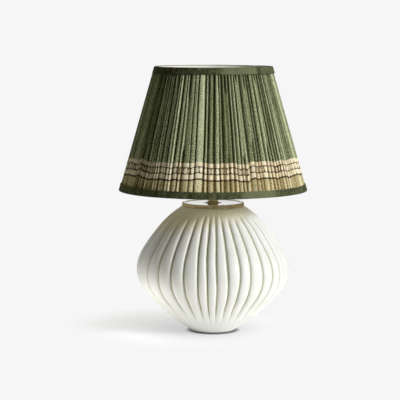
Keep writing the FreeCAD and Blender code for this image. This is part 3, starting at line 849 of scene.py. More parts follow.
# %% Cord bush
bush_bore = 0.0035
bush_body = 0.0050
bush_flange = 0.0068
bush_flange_height = 0.0012
bush_tail = 0.0090
bush_corners = [
    (bush_bore, -bush_tail),
    (bush_body, -bush_tail),
    (bush_body, 0),
    (bush_flange, 0),
    (bush_flange, bush_flange_height),
    (bush_bore, bush_flange_height),
]
bush_grid = turned_grid(softened(bush_corners, soft_edge), 64)
rubber_dark = (0.018, 0.018, 0.018, 1)
rubber_pale = (0.05, 0.05, 0.048, 1)
black_rubber = two_tone("black_rubber", rubber_dark, rubber_pale, 300.0, 3.0, relief=0.0001, Roughness=0.62)
cord_bush = skin("cord_bush", aimed(bush_grid, bush_seat, bush_seat + bush_out), loop=True)
fit(cord_bush, "root", "soft_black", black_rubber, "cord_grommet")

# %% [markdown]
# The neck is turned brass, aged brown: a short column with a foot and a round bead. The
# lampholder above it is drawn sheet with a rolled edge, and its skirt carries a rolled thread
# for the two shade rings, whose rims are knurled for the fingers. Old brass is bright where it
# is handled, so its recipe mixes two tones by a noise. In the grooves beside the neck's bead it
# is darkened nearly to black, partly as patina and partly as painted shade.

# %% Brass
# patina and painted shade for grooves
groove_patina_and_shade = (0.03, 0.022, 0.012, 1)


def metal(name, bright, dull, roughness, scratch=0.00002):
    """Two tones of one metal by a cloudy noise, darkened where the piece has a groove mark, partly as
    patina and partly as painted shade, with fine scratches round the axis."""
    recipe = Recipe(name)
    clouds = recipe.noise(recipe.place(), 260.0, 4.0, 0.6)
    tone = recipe.mix(recipe.span(clouds, 0.35, 0.65), dull, bright)
    tone = recipe.mix(recipe.mark("groove"), tone, groove_patina_and_shade)
    lines = recipe.noise(recipe.place((0.05, 0.05, 1)), 9000.0, 2.0)
    worn = recipe.span(clouds, 0.3, 0.7, roughness * 1.25, roughness * 0.8)
    return recipe.done(Base_Color=tone, Metallic=1.0, Roughness=worn, Normal=recipe.bump(lines, scratch))


antique_brass = metal("antique_brass", (0.66, 0.56, 0.28, 1), (0.34, 0.28, 0.13, 1), 0.34)
bright_brass = metal("bright_brass", (0.80, 0.62, 0.30, 1), (0.62, 0.47, 0.21, 1), 0.28)
zinc_steel = metal("zinc_steel", (0.66, 0.66, 0.65, 1), (0.45, 0.45, 0.44, 1), 0.38)
cap_metal = metal("cap_metal", (0.78, 0.77, 0.74, 1), (0.60, 0.59, 0.56, 1), 0.30)
solder = metal("solder", (0.60, 0.60, 0.58, 1), (0.38, 0.38, 0.37, 1), 0.45, 0.0002)
print("metals", [m.name for m in (antique_brass, bright_brass, zinc_steel, cap_metal, solder)])

# %% Turned neck
neck_low, neck_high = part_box("neck_collar")
neck_radius = 0.0094
neck_bore = 0.0051
neck_step = 0.0008
neck_waist = 0.0003
neck_bow = 0.0002
foot_flare = 0.0004
bead_height = 0.0028
groove_above = 0.0006
groove_below = 0.0004
groove_reach = 0.0009
neck_columns = 128

bead_low = neck_low.z + neck_step
bead_high = bead_low + bead_height
bead_size = (neck_high.x - neck_radius, bead_height / 2)
bead = arc((neck_radius, (bead_low + bead_high) / 2), bead_size, -quarter_turn, quarter_turn, 9)
neck_outline = [
    (neck_bore, neck_low.z),
    (neck_radius + foot_flare, neck_low.z),
    (neck_radius + foot_flare, neck_low.z + neck_step),
    (neck_radius, neck_low.z + 1.5 * neck_step),
    *bead,
    (neck_radius, bead_high + neck_step),
    (neck_radius - neck_waist, bead_high + 2 * neck_step),
    (neck_radius - neck_waist, neck_high.z - 1.75 * neck_step),
    (neck_radius, neck_high.z - neck_step),
    (neck_radius, neck_high.z),
    (neck_bore, neck_high.z),
]
neck_line = softened(neck_outline, neck_bow)
# the grooves above and below the bead are marked for patina and painted shade
from_upper_groove = np.abs(neck_line[:, 1] - bead_high - groove_above)
from_lower_groove = np.abs(neck_line[:, 1] - bead_low + groove_below)
in_groove = np.clip(1 - np.minimum(from_upper_groove, from_lower_groove) / groove_reach, 0, 1)
in_groove *= neck_line[:, 0] > neck_bore + 10 * hair
groove_mark = np.repeat(in_groove[:, None], neck_columns, axis=1)
neck = lathe("turned_neck", neck_line, neck_columns, marks={"groove": groove_mark})
fit(neck, "root", "antique_brass", antique_brass, "neck_collar")

# %% [markdown]
# The holder's cap is a cup with a round shoulder. A quarter circle gives the shoulder, and the
# cup is made as a sheet with an inside, because the switch bar goes through it. The skirt is a
# sleeve whose surface climbs and falls with the thread: the swell is a wave of the height less
# the share of a turn, which is what a helix is. Two rings run on that thread.

# %% Lampholder: the cap
cap_low, cap_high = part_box("holder_cap")
sheet_gauge = 0.0012
shoulder = 0.0085
rolled_edge = 0.0006
roll_from = 0.0026
roll_full = 0.0018

shoulder_centre = (cap_high.x - shoulder, cap_low.z + shoulder)
edge_ring = [
    (cap_high.x, cap_high.z - roll_from),
    (cap_high.x + rolled_edge, cap_high.z - roll_full),
    (cap_high.x + rolled_edge, cap_high.z - rolled_edge),
    (cap_high.x, cap_high.z),
    (cap_high.x - sheet_gauge, cap_high.z),
]
cap_outline = np.array(
    [
        (neck_bore, cap_low.z),
        *arc(shoulder_centre, shoulder, -quarter_turn, 0, 12),
        *edge_ring,
        *arc(shoulder_centre, shoulder - sheet_gauge, 0, -quarter_turn, 12),
        (neck_bore, cap_low.z + sheet_gauge),
    ]
)
fit(lathe("lampholder_cap", cap_outline, 128), "root", "antique_brass", antique_brass, "holder_cap")

# %% Lampholder: the threaded skirt
skirt_low, skirt_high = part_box("holder_skirt")
skirt_radius = skirt_high.x
thread_pitch = 0.0020
thread_depth = 0.0005
thread_margin = 0.0015
thread_bevel = 0.0003
skirt_rows = 121


def thread(pitch, depth, low, high, fade, face):
    """A swell for the lathe: a wave of height / pitch - turns, faded out at both ends, on what
    lies farther out than the face."""

    def swell(turn, level, radius):
        wave = 0.5 + 0.5 * np.cos(full_turn * level / pitch - turn)
        near_end = np.minimum(level - low, high - level) / fade
        return -depth * wave * np.clip(near_end, 0, 1) * (radius > face)

    return swell


skirt_levels = np.linspace(skirt_low.z + thread_bevel, skirt_high.z - thread_bevel, skirt_rows)
skirt_outline = np.array(
    [
        (skirt_radius - sheet_gauge, skirt_low.z),
        (skirt_radius - thread_bevel, skirt_low.z),
        *straight(skirt_radius, skirt_levels),
        (skirt_radius - thread_bevel, skirt_high.z),
        (skirt_radius - sheet_gauge, skirt_high.z),
    ]
)
skirt_face = skirt_radius - thread_bevel - hair
skirt_thread = thread(thread_pitch, thread_depth, skirt_low.z, skirt_high.z, thread_margin, skirt_face)
skirt = lathe("lampholder_skirt", skirt_outline, 96, swell=skirt_thread)
fit(skirt, "root", "antique_brass", antique_brass, "holder_skirt")

# %% Shade rings
knurl_count = 60
knurl_depth = 0.0003
hub = 0.0235
flange_thickness = 0.0015
flange_bow = 0.0004
ring_clearance = 0.00005


def knurled(turn, level, radius):
    """Small grooves round the rim of a shade ring: a cosine of the turn, on the rim only."""
    return knurl_depth * (np.cos(turn * knurl_count) - 1) * (radius > ring_flange - 2 * knurl_depth)


for ring_name, ring_node, flange_up in (
    ("shade_ring_lower", "lower_shade_ring", True),
    ("shade_ring_upper", "upper_shade_ring", False),
):
    ring_low, ring_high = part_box(ring_node)
    ring_flange = ring_high.x
    ring_bore = skirt_radius + ring_clearance
    face, back = (ring_high.z, ring_low.z) if flange_up else (ring_low.z, ring_high.z)
    step = face + math.copysign(flange_thickness, back - face)
    corners = [(ring_bore, face), (ring_flange, face), (ring_flange, step)]
    corners += [(hub, step), (hub, back), (ring_bore, back)]
    if flange_up:
        corners = corners[::-1]
    ring = lathe(ring_name, softened(corners, flange_bow), 480, swell=knurled)
    fit(ring, "root", "antique_brass", antique_brass, ring_node)

# %% [markdown]
# The push bar runs across the holder with a domed button at each end, worn bright by fingers.
# It is turned about its own axis and then laid along X, which only changes which way the grid
# points.

# %% Switch bar
bar_low, bar_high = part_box("switch_bar")
bar_radius = 0.0025
button_radius = bar_high.y
button_length = 0.004
button_dome = 0.0012
bar_level = (bar_low.z + bar_high.z) / 2
bar_length = bar_high.x - bar_low.x
bar_corners = [
    (0, 0),
    (button_radius, 0),
    (button_radius, button_length),
    (bar_radius, button_length),
    (bar_radius, bar_length - button_length),
    (button_radius, bar_length - button_length),
    (button_radius, bar_length),
    (0, bar_length),
]
bar_outline = softened(bar_corners, button_dome, 5, loop=False)
bar_grid = aimed(turned_grid(bar_outline, 48), (bar_low.x, 0, bar_level), (bar_high.x, 0, bar_level))
switch_brass = metal("switch_brass", (0.55, 0.44, 0.22, 1), (0.30, 0.23, 0.11, 1), 0.24)
fit(skin("push_bar", bar_grid, weld=True), "switch", "switch_brass", switch_brass, "switch_bar")

# %% [markdown]
# The bulb is opal glass on a screw cap. The envelope is one outline from the neck, over a cone
# that just touches the globe, to the crown. The cap's thread is deeper and rounder than the
# holder's, so the same swell comes again with other sizes. The lamp is off, so the glass only
# takes the room's light.

# %% Bulb: the glass
glass_low, glass_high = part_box("bulb_glass")
globe_radius = glass_high.x
globe_level = glass_high.z - globe_radius
glass_wall = 0.001
glass_neck = 0.0125
glass_neck_level = 0.319
bend_below = 0.002
bend_above = 0.001
bend_out = 0.0004
rise_up = globe_level - glass_neck_level
touch = math.atan2(glass_neck, rise_up) + math.acos(globe_radius / math.hypot(glass_neck, rise_up))


def envelope(inset):
    """Neck, cone and globe: the globe's arc runs from where the cone touches it to the crown."""
    neck = glass_neck - inset
    bend = [(neck, glass_neck_level - bend_below), (neck + bend_out, glass_neck_level + bend_above)]
    globe = arc((0, globe_level), globe_radius - inset, touch - quarter_turn, quarter_turn, 26)
    return np.array([(neck, glass_low.z), *bend, *globe])


glass_outline = np.concatenate([envelope(0), envelope(glass_wall)[::-1]])
glass_outline[np.abs(glass_outline[:, 0]) < least, 0] = 0
opal_dim = (0.86, 0.86, 0.83, 1)
opal_white = (0.93, 0.93, 0.91, 1)
opal_look = {"Roughness": 0.22, "Subsurface_Weight": 0.25, "Subsurface_Scale": 0.004, "Coat_Weight": 0.5}
opal_glass = two_tone("opal_glass", opal_dim, opal_white, 40.0, **opal_look)
bulb_glass = skin("opal_bulb", turned_grid(glass_outline, 96), loop=True, weld=True)
fit(bulb_glass, "bulb", "opal_glass", opal_glass, "bulb_glass")

# %% Bulb: the screw cap
shell_low, shell_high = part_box("bulb_cap")
cap_radius = shell_high.x
cap_pitch = 0.003629
cap_thread = 0.0009
cap_wall = 0.0005
cap_collar = 0.004
cap_margin = 0.001
cap_fade = 0.002
cap_bevel = 0.0012
cap_inner_bevel = 0.0018
cap_bottom_gauge = 0.0006
cap_face = cap_radius - 0.0007
tip_opening = 0.0045
cap_rows = 80

cap_levels = np.linspace(shell_low.z + cap_margin, shell_high.z, cap_rows)
cap_line = np.array(
    [
        (tip_opening, shell_low.z),
        (cap_radius - cap_bevel, shell_low.z),
        *straight(cap_radius, cap_levels),
        (cap_radius - cap_wall, shell_high.z),
        (cap_radius - cap_wall, shell_high.z - cap_collar),
        (cap_radius - cap_inner_bevel, shell_low.z + cap_bottom_gauge),
        (tip_opening, shell_low.z + cap_wall),
    ]
)
thread_ends = (shell_low.z + cap_margin, shell_high.z - cap_collar)
cap_swell = thread(cap_pitch, cap_thread, *thread_ends, cap_fade, cap_face)
fit(lathe("screw_cap", cap_line, 96, swell=cap_swell), "bulb", "cap_metal", cap_metal, "bulb_cap")

# %% [markdown]
# The carrier and the shade's fitter are steel wire and pressed rings, welded and powder coated
# white. Wires are rods aimed between two points with their ends a little inside what they are
# welded to. Powder coat has a fine orange peel, which is a small bump.

# %% Powder coat
coat_dim = (0.78, 0.77, 0.73, 1)
coat_white = (0.85, 0.84, 0.81, 1)
powder = Recipe("white_powder_coat")
peel = powder.noise(powder.place(), 1400.0, 2.0)
uneven = powder.noise(powder.place(), 90.0, 3.0)
powder_white = powder.mix(powder.span(uneven, 0.3, 0.7), coat_dim, coat_white)
white_steel = powder.done(Base_Color=powder_white, Roughness=0.42, Normal=powder.bump(peel, 0.00006))
print("finish", white_steel.name)

# %% Pressed rings
ring_bow = 0.0004
running_gap = 0.0003


def plate_ring(name, node, body, corners):
    ring = lathe(name, softened(corners, ring_bow), 144)
    return fit(ring, body, "white_steel", white_steel, node)


foot_low, foot_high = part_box("carrier_foot")
seat_corners = block(skirt_radius + running_gap, foot_high.x, foot_low.z, foot_high.z)
plate_ring("carrier_base_ring", "carrier_foot", "carrier", seat_corners)
top_low, top_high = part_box("carrier_ring")
carrier_bore = 0.044
top_corners = block(carrier_bore, top_high.x, top_low.z, top_high.z)
plate_ring("carrier_top_ring", "carrier_ring", "carrier", top_corners)
duplex_low, duplex_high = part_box("duplex_ring")
duplex_bore = 0.045
duplex_skirt_gauge = 0.0012
duplex_plate_gauge = 0.0015
duplex_inner = duplex_high.x - duplex_skirt_gauge
duplex_seat = duplex_high.z - duplex_plate_gauge
duplex_corners = [
    (duplex_bore, duplex_seat),
    (duplex_inner, duplex_seat),
    (duplex_inner, duplex_low.z),
    (duplex_high.x, duplex_low.z),
    (duplex_high.x, duplex_high.z),
    (duplex_bore, duplex_high.z),
]
plate_ring("fitter_ring", "duplex_ring", "shade", duplex_corners)

# %% Welded wires
weld_bite = 0.0004
rod_end_share = 0.7


def wires(name, low, high, count, first, radius, node, body):
    """Rods with rounded ends from one radius and level to another, spread evenly round the axis
    from the first, in degrees, and joined into one piece."""
    work = bmesh.new()
    for k in range(count):
        turn = math.radians(first + 360 / count * k)
        start, end = (round_grid(place[0], turn, place[1]) for place in (low, high))
        corners = block(0, radius, 0, np.linalg.norm(end - start))
        outline = softened(corners, radius * rod_end_share, 4, loop=False)
        rod = skin(name + "_rod", aimed(turned_grid(outline, 24), start, end), weld=True)
        work.from_mesh(rod.data)
        bpy.data.objects.remove(rod)
    joined = bpy.data.meshes.new(name)
    work.to_mesh(joined)
    work.free()
    return fit(added(name, joined), body, "white_steel", white_steel, node)


leg_radius = 0.0015
leg_low = (foot_high.x - leg_radius, foot_high.z - weld_bite)
leg_high = ((carrier_bore + top_high.x) / 2, top_low.z + weld_bite)
wires("carrier_wires", leg_low, leg_high, 3, 150, leg_radius, "carrier_legs", "carrier")
arm_radius = 0.0016
frame_wire = 0.00175
arm_in = 0.001
arm_down = 0.0012
top_ring_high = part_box("top_ring")[1]
top_ring_radius = top_ring_high.x - frame_wire
top_ring_level = top_ring_high.z - frame_wire
arm_low = (duplex_high.x - arm_radius, duplex_high.z - weld_bite)
arm_high = (top_ring_radius - arm_in, top_ring_level - arm_down)
wires("fitter_arms", arm_low, arm_high, 4, 45, arm_radius, "shade_arms", "shade")

# %% [markdown]
# The shade's cover is one long strip of linen, gathered by hand over the frame. Every pleat has
# its own width, height and tilt, and between two pleats lies a narrow, deep fold. Where the
# strip is sewn to the rings it is gathered finely; farther in, some of the small folds open and
# two pleats run on as one. The formula goes round the shade pleat by pleat. At a distance d from
# a fold of width w the cloth sinks by exp(-(d / w)^1.7), which gives a broad crest and a steep
# fold. The crest itself is rounded by (2 s - 1)^2 of its share s and tilted by a straight slope.
# At the right the strip is packed more closely, with wide folds and many short ones, and at the
# left it lies calmer. Every pleat has the same number of columns, so none is torn by the mesh.

# %% Sizes of the gathered cover
shade_low, shade_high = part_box("gathered_cover")
binding_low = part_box("bottom_binding")[0].z
binding_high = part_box("top_binding")[1].z
binding_stand = 0.0012
cover_bottom_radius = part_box("bottom_binding")[1].x - binding_stand
cover_taper = 0.0652
cover_top_radius = cover_bottom_radius - cover_taper
cover_rows = 36
front = -quarter_turn
pleat_seed = 23
pleat_count = 120
pleat_columns = 10
pleat_depth = 0.0042
pleat_depth_at_edge = 0.0023
pleat_stand = 0.0004
calm_stretch = 0.014
width_scatter = 0.34
lean_most = 0.16
tilt_scatter = 0.38
crest_drop_most = 0.22
round_least = 0.08
round_most = 0.30
rounding_most = 0.75
fold_narrow = 0.0010
fold_wide = 0.0021
fold_skew = 1.4
fold_most = 0.31
fold_weakest = 0.72
fold_steepness = 1.7
short_share = 0.34
short_open = 0.25
short_from_below = (0.055, 0.11)
short_from_above = (0.012, 0.045)
short_run_out = 0.02
slow_drift = 0.07
slow_drift_wave = 3.1
quick_drift = 0.03
quick_drift_wave = 8.0
column_ease = 0.6
row_ease = 0.45
sewn_row = 3
packed_place = 52
packed_spread = 28
packed_fold = 1.2
packed_most = 0.13
packed_short = 0.5
calm_place = -24
calm_spread = 20
calm_flatter = 0.10
gathering = (
    # degrees round from the front, spread in degrees, how much looser than the rest
    (24, 24, 0.30),
    (62, 26, -0.05),
    (-34, 20, -0.10),
)
print("cover from", round(cover_bottom_radius, 4), "to", round(cover_top_radius, 4), "in radius")

# %% Helpers for the cover


def cover_radius(level):
    """The cone that the crests of the pleats touch."""
    share = (level - binding_low) / (binding_high - binding_low)
    return cover_bottom_radius + (cover_top_radius - cover_bottom_radius) * share


def smooth(share):
    """The smooth step 3 s^2 - 2 s^3 of a share held between nothing and one."""
    share = np.clip(share, 0, 1)
    return share * share * (3 - 2 * share)


def eased(share, ease):
    """A share that runs slower at both ends: part straight, part half a cosine wave."""
    return ease * (0.5 - 0.5 * np.cos(math.pi * share)) + (1 - ease) * share


def degrees_from_front(turn):
    """Degrees round from the front, from -180 to 180."""
    return np.degrees((turn - front + math.pi) % full_turn - math.pi)


def bell(place, spread):
    """One for a pleat at a place, less for those farther off: exp(-((middle - place) / spread)^2)."""
    return np.exp(-(((pleat_middles - place) / spread) ** 2))


print("smooth step of a half", smooth(0.5))

# %% Pleats round the shade
rng = np.random.default_rng(pleat_seed)
pleat_widths = np.exp(rng.normal(0, width_scatter, pleat_count))
pleat_middles = degrees_from_front(np.cumsum(pleat_widths) / pleat_widths.sum() * full_turn)
for place, spread, looser in gathering:
    pleat_widths *= 1 + looser * bell(place, spread)
pleat_edges = np.concatenate([[0], np.cumsum(pleat_widths)]) / pleat_widths.sum() * full_turn
pleat_span = np.diff(pleat_edges)
share = eased(np.arange(pleat_columns) / pleat_columns, column_ease)[None, :]
fold_width = fold_narrow + (fold_wide - fold_narrow) * rng.uniform(0, 1, pleat_count) ** fold_skew
packed = bell(packed_place, packed_spread)
fold_width *= 1 + packed_fold * packed
pleat_mean_width = pleat_span * (cover_bottom_radius + cover_top_radius) / 2
fold_width = np.minimum(fold_width, (fold_most + packed_most * packed) * pleat_mean_width)
flatter = calm_flatter * bell(calm_place, calm_spread)
roundness = rng.uniform(round_least, round_most, pleat_count)[:, None]
lean = rng.uniform(-lean_most, lean_most, pleat_count)[:, None]
tilt = rng.normal(0, tilt_scatter, pleat_count)[:, None] * (share - 0.5)
crest_drop = rng.uniform(0, crest_drop_most, pleat_count)[:, None]
side_share = (share + lean * np.sin(math.pi * share)).reshape(1, -1)
print("pleats", pleat_count, "widest", round(float(pleat_mean_width.max()), 4))

# %% Folds up the shade
row_share = eased(np.linspace(0, 1, cover_rows)[:, None], row_ease)
cover_levels = shade_low.z + (shade_high.z - shade_low.z) * row_share
edge_distance = np.minimum(cover_levels - shade_low.z, shade_high.z - cover_levels)
calm = smooth(edge_distance / calm_stretch)
depth_here = pleat_depth_at_edge + (pleat_depth - pleat_depth_at_edge) * calm
is_short = rng.uniform(0, 1, pleat_count) < short_share + packed_short * packed
is_short &= ~np.roll(is_short, 1)
from_below = rng.uniform(*short_from_below, pleat_count)
from_above = rng.uniform(*short_from_above, pleat_count)
opening = smooth((cover_levels - shade_low.z - from_below) / short_run_out)
opening = opening * smooth((shade_high.z - cover_levels - from_above) / short_run_out)
fold_strength = rng.uniform(fold_weakest, 1.0, pleat_count) * (1 - (1 - short_open) * opening * is_short)
print("short folds", int(is_short.sum()))

# %% How far the cloth sinks


def per_pleat(values):
    """Spread one value a pleat over its columns, row by row."""
    return np.repeat(values, pleat_columns, axis=1)


def nearer_fold(values):
    """One value a fold: the pleat's left half takes its own fold's, the right half the next's."""
    return np.where(right_half, per_pleat(np.roll(values, -1, axis=1)), per_pleat(values))


right_half = np.tile(share > 0.5, (1, pleat_count))
cone_radius = cover_radius(cover_levels)
pleat_width = per_pleat(pleat_span[None, :] * cone_radius)
share_flat = np.tile(share, (1, pleat_count))
from_fold = np.minimum(share_flat, 1 - share_flat) * pleat_width
fold_shape = np.exp(-((from_fold / nearer_fold(fold_width[None, :])) ** fold_steepness))
fold_here = fold_shape * nearer_fold(fold_strength)
rounding = per_pleat(roundness.T) * pleat_width * (2 * share_flat - 1) ** 2 / pleat_depth
body_sink = np.minimum(rounding, rounding_most) + (crest_drop + tilt).reshape(1, -1)
sink_share = np.minimum(fold_here + (1 - fold_here) * body_sink, 1)
print("mean sink", round(float(sink_share.mean()), 3), "of the depth")

# %% The cover's grid
drift_phase = rng.uniform(0, full_turn, (2, pleat_count))
drift = slow_drift * np.sin(row_share * slow_drift_wave + drift_phase[0])
drift = drift + quick_drift * np.sin(row_share * quick_drift_wave + drift_phase[1])
edge_turn = pleat_edges[:-1] + drift * pleat_span.mean() * calm
next_turn = np.concatenate([edge_turn[:, 1:], edge_turn[:, :1] + full_turn], axis=1)
cover_turn = per_pleat(edge_turn) + side_share * per_pleat(next_turn - edge_turn)
cover_sink = sink_share * depth_here * (1 - per_pleat(flatter[None, :])) - pleat_stand * calm
cover_grid = round_grid(cone_radius - cover_sink, cover_turn, cover_levels)
closed_row = np.concatenate([cover_grid[sewn_row], cover_grid[sewn_row][:1]])
across = np.concatenate([[0], np.cumsum(np.linalg.norm(np.diff(closed_row, axis=0), axis=1))])

# %% [markdown]
# The pattern is woven into the strip, so it has to follow the cloth and not the air around it.
# The cover's map holds the distance along the strip and the height up it. The strip was never
# gathered quite level, so the height wanders by a millimetre or two from pleat to pleat, and the
# woven bands wander with it.

# %% The cloth's own map
slow_waves = np.array([7, 11, 17, 26])
slow_heights = np.array([0.0009, 0.0007, 0.0007, 0.0006])
shift_scatter = 0.0011
cover_gauge = 0.0004


def thickened(piece, name, gauge):
    """Give cloth its thickness towards the inside, by a modifier that stays live."""
    solid = piece.modifiers.new(name, "SOLIDIFY")
    solid.thickness = gauge
    solid.offset = -1


map_columns = cover_turn.shape[1] + 1
slow_phase = rng.uniform(0, full_turn, len(slow_waves))
pleat_shift = rng.normal(0, shift_scatter, pleat_count)
shift_turn = np.linspace(0, full_turn, map_columns)
slow_shift = (slow_heights * np.sin(slow_waves * shift_turn[:, None] + slow_phase)).sum(axis=1)
map_places = np.arange(map_columns) / pleat_columns
shift_places = np.arange(pleat_count + 1) + 0.5
quick_shift = np.interp(map_places, shift_places, np.append(pleat_shift, pleat_shift[0]))
up_cloth = cover_levels + (slow_shift + quick_shift)[None, :]
cover_map = np.stack(np.broadcast_arrays(across[None, :], up_cloth), axis=-1)
pleat_tone = np.repeat(rng.uniform(0, 1, pleat_count), pleat_columns)
# the fold mark lays out the painted shade in the deep folds
marks = {"tone": np.tile(pleat_tone, (cover_rows, 1)), "fold_shade": fold_here}
gathered_linen = skin("gathered_linen", cover_grid, uv=cover_map, marks=marks)
thickened(gathered_linen, "cloth_gauge", cover_gauge)
print("map reaches", round(float(cover_map[..., 0].max()), 3), "m along the strip")

# %% [markdown]
# The linen is heathered: dark green warp, paler weft, and slubs where the yarn is thick. Near
# the lower edge the weaver changed yarns: a cream band, a row of cream lozenges with brown
# outlines, a second cream band, a brown line, and then khaki down to the binding. Each band is a
# window on the height in the cloth's map, and its edges are a little ragged, because yarns are.

# %% Tones and places of the bands
green_dark = (0.110, 0.128, 0.057, 1)
green_mid = (0.385, 0.440, 0.238, 1)
green_pale = (0.76, 0.83, 0.55, 1)
khaki_dark = (0.40, 0.325, 0.15, 1)
khaki_pale = (0.90, 0.825, 0.54, 1)
cream = (0.98, 0.90, 0.69, 1)
cream_dim = (0.92, 0.79, 0.56, 1)
yarn_brown = (0.120, 0.098, 0.045, 1)
# painted shade in the deep folds: near black in the green, warm brown within the bands
fold_shade_tint = (0.075, 0.072, 0.030, 1)
band_fold_shade_tint = (0.40, 0.31, 0.17, 1)
khaki_top = 0.2960
line_top = 0.2990
cream_top = 0.3272
lozenge_low = 0.3074
lozenge_high = 0.3198
lozenge_pitch = 0.0092
lozenge_power = 2.6
lozenge_long_share = 0.44
lozenge_tall_share = 0.80
lozenge_stray = 0.5
ragged_height = 0.0022
linen_pitch = 0.0007
fold_shade_from = 0.12
fold_shade_to = 0.80
print("bands from", khaki_top, "to", cream_top)

# %% Helpers for woven cloth


def weave(recipe, pitch):
    """Plain weave: the product of a sine across and a sine along, over and under by turns."""
    spot = recipe.cloth((math.pi / pitch, math.pi / pitch, 1))
    over = recipe.math("SINE", recipe.part(spot, "X"))
    under = recipe.math("SINE", recipe.part(spot, "Y"))
    return recipe.times(over, under)


def yarns(recipe, drawn, scale):
    """Half warp and half weft: two noises, each drawn out along its own threads."""
    warp = recipe.noise(recipe.cloth((1.0, drawn, 1)), scale, 3.0, 0.65)
    weft = recipe.noise(recipe.cloth((drawn, 1.0, 1)), scale, 3.0, 0.65)
    return recipe.add(recipe.times(warp, 0.5), recipe.times(weft, 0.5))


def linen_cloth(recipe, colour, yarn, height):
    """Dull cloth whose relief is the yarn and half the weave."""
    relief = recipe.bump(recipe.add(recipe.times(weave(recipe, linen_pitch), 0.5), yarn), height)
    return recipe.done(Base_Color=colour, Roughness=0.9, Specular_IOR_Level=0.12, Normal=relief)


print("woven cloth helpers are ready")

# %% Linen: yarns in three colours
linen = Recipe("banded_linen")
slub = linen.noise(linen.cloth((1.0, 0.04, 1)), 420.0, 2.0)
grain = linen.noise(linen.cloth(), 460.0, 1.0)
yarn = linen.stir(yarns(linen, 0.35, 1500.0), slub, 0.26)
yarn = linen.stir(yarn, grain, 0.75)
yarn = linen.stir(yarn, linen.mark("tone"), 0.20)
green = linen.mix(linen.span(yarn, 0.36, 0.56), green_dark, green_mid)
green = linen.mix(linen.span(yarn, 0.50, 0.68), green, green_pale)
khaki = linen.mix(linen.span(yarn, 0.38, 0.62), khaki_dark, khaki_pale)
pale = linen.mix(linen.span(yarn, 0.34, 0.48), cream_dim, cream)
print("yarn nodes", len(linen.tree.nodes))

# %% Linen: woven stripes
spot = linen.cloth()
ragged = linen.noise(linen.cloth((1.0, 0.3, 1)), 420.0, 2.0)
up = linen.stir(linen.part(spot, "Y"), ragged, ragged_height)
stripes = (
    # from, to, softness of the edges, colour
    (0.0, khaki_top, 0.0005, khaki),
    (khaki_top, line_top, 0.0006, yarn_brown),
    (line_top, cream_top, 0.0006, pale),
)
colour = green
for low, high, soft, tone in stripes:
    colour = linen.mix(linen.band(up, low, high, soft), colour, tone)
print("stripes", len(stripes))

# %% Linen: the row of lozenges
stray = linen.noise(linen.cloth(), 90.0, 1.0)
along = linen.math("DIVIDE", linen.part(spot, "X"), lozenge_pitch)
place_along = linen.math("FRACT", linen.add(along, linen.times(stray, lozenge_stray)))
from_middle = linen.math("ABSOLUTE", linen.less(place_along, 0.5))
from_level = linen.math("ABSOLUTE", linen.less(up, (lozenge_high + lozenge_low) / 2))
lozenge_half = (lozenge_high - lozenge_low) / 2 * lozenge_tall_share
wide = linen.math("POWER", linen.math("DIVIDE", from_middle, lozenge_long_share), lozenge_power)
tall = linen.math("POWER", linen.math("DIVIDE", from_level, lozenge_half), lozenge_power)
outline = linen.span(linen.add(wide, tall), 0.72, 1.05)
row = linen.band(up, lozenge_low, lozenge_high, 0.0005)
colour = linen.mix(linen.times(outline, row), colour, yarn_brown)
print("lozenges every", lozenge_pitch, "m")

# %% Linen: painted shade in the folds, relief and fit
# painted shade: the deep folds between pleats are darkened
fold_shade_share = linen.span(linen.mark("fold_shade"), fold_shade_from, fold_shade_to)
fold_shade_colour = linen.mix(linen.band(up, 0.0, cream_top, 0.002), fold_shade_tint, band_fold_shade_tint)
colour = linen.mix(fold_shade_share, colour, fold_shade_colour, "MULTIPLY")
banded_linen = linen_cloth(linen, colour, yarn, 0.0003)
fit(gathered_linen, "shade", "shade_linen", banded_linen, "gathered_cover")

# %% [markdown]
# A folded strip of the plain green linen is sewn round both edges. It is a band that rolls over
# the wire and stands a little proud of the pleats. A strip has two ends, and they lap over each
# other with one of them turned under, so the band is thicker there. The formula gives the band a
# softened outline and lifts it where it laps, and a dark line of painted shadow runs along the
# edges of the lap.

# %% Sizes and tones of the bindings
binding_columns = 480
binding_bow = 0.0007
binding_wave = 0.00022
binding_waves = np.array([[5], [13], [31]])
binding_wave_shares = np.array([[1.0], [0.7], [0.4]])
swell_from = 0.001
swell_run = 0.002
pale_start_run = 6
pale_end_run = 3
lap_soft = 0.004
lap_paler = 0.35
under_gauge = 0.0018
bottom_drop = 0.0011
wire_clearance = 2 * hair
strip_dark = (0.030, 0.035, 0.013, 1)
strip_green = (0.125, 0.140, 0.070, 1)
strip_pale = (0.24, 0.26, 0.15, 1)
# painted shadow along the edges of the lap
lap_shadow_dark = (0.03, 0.033, 0.015, 1)
print("binding columns", binding_columns)

# %% Binding: the shape


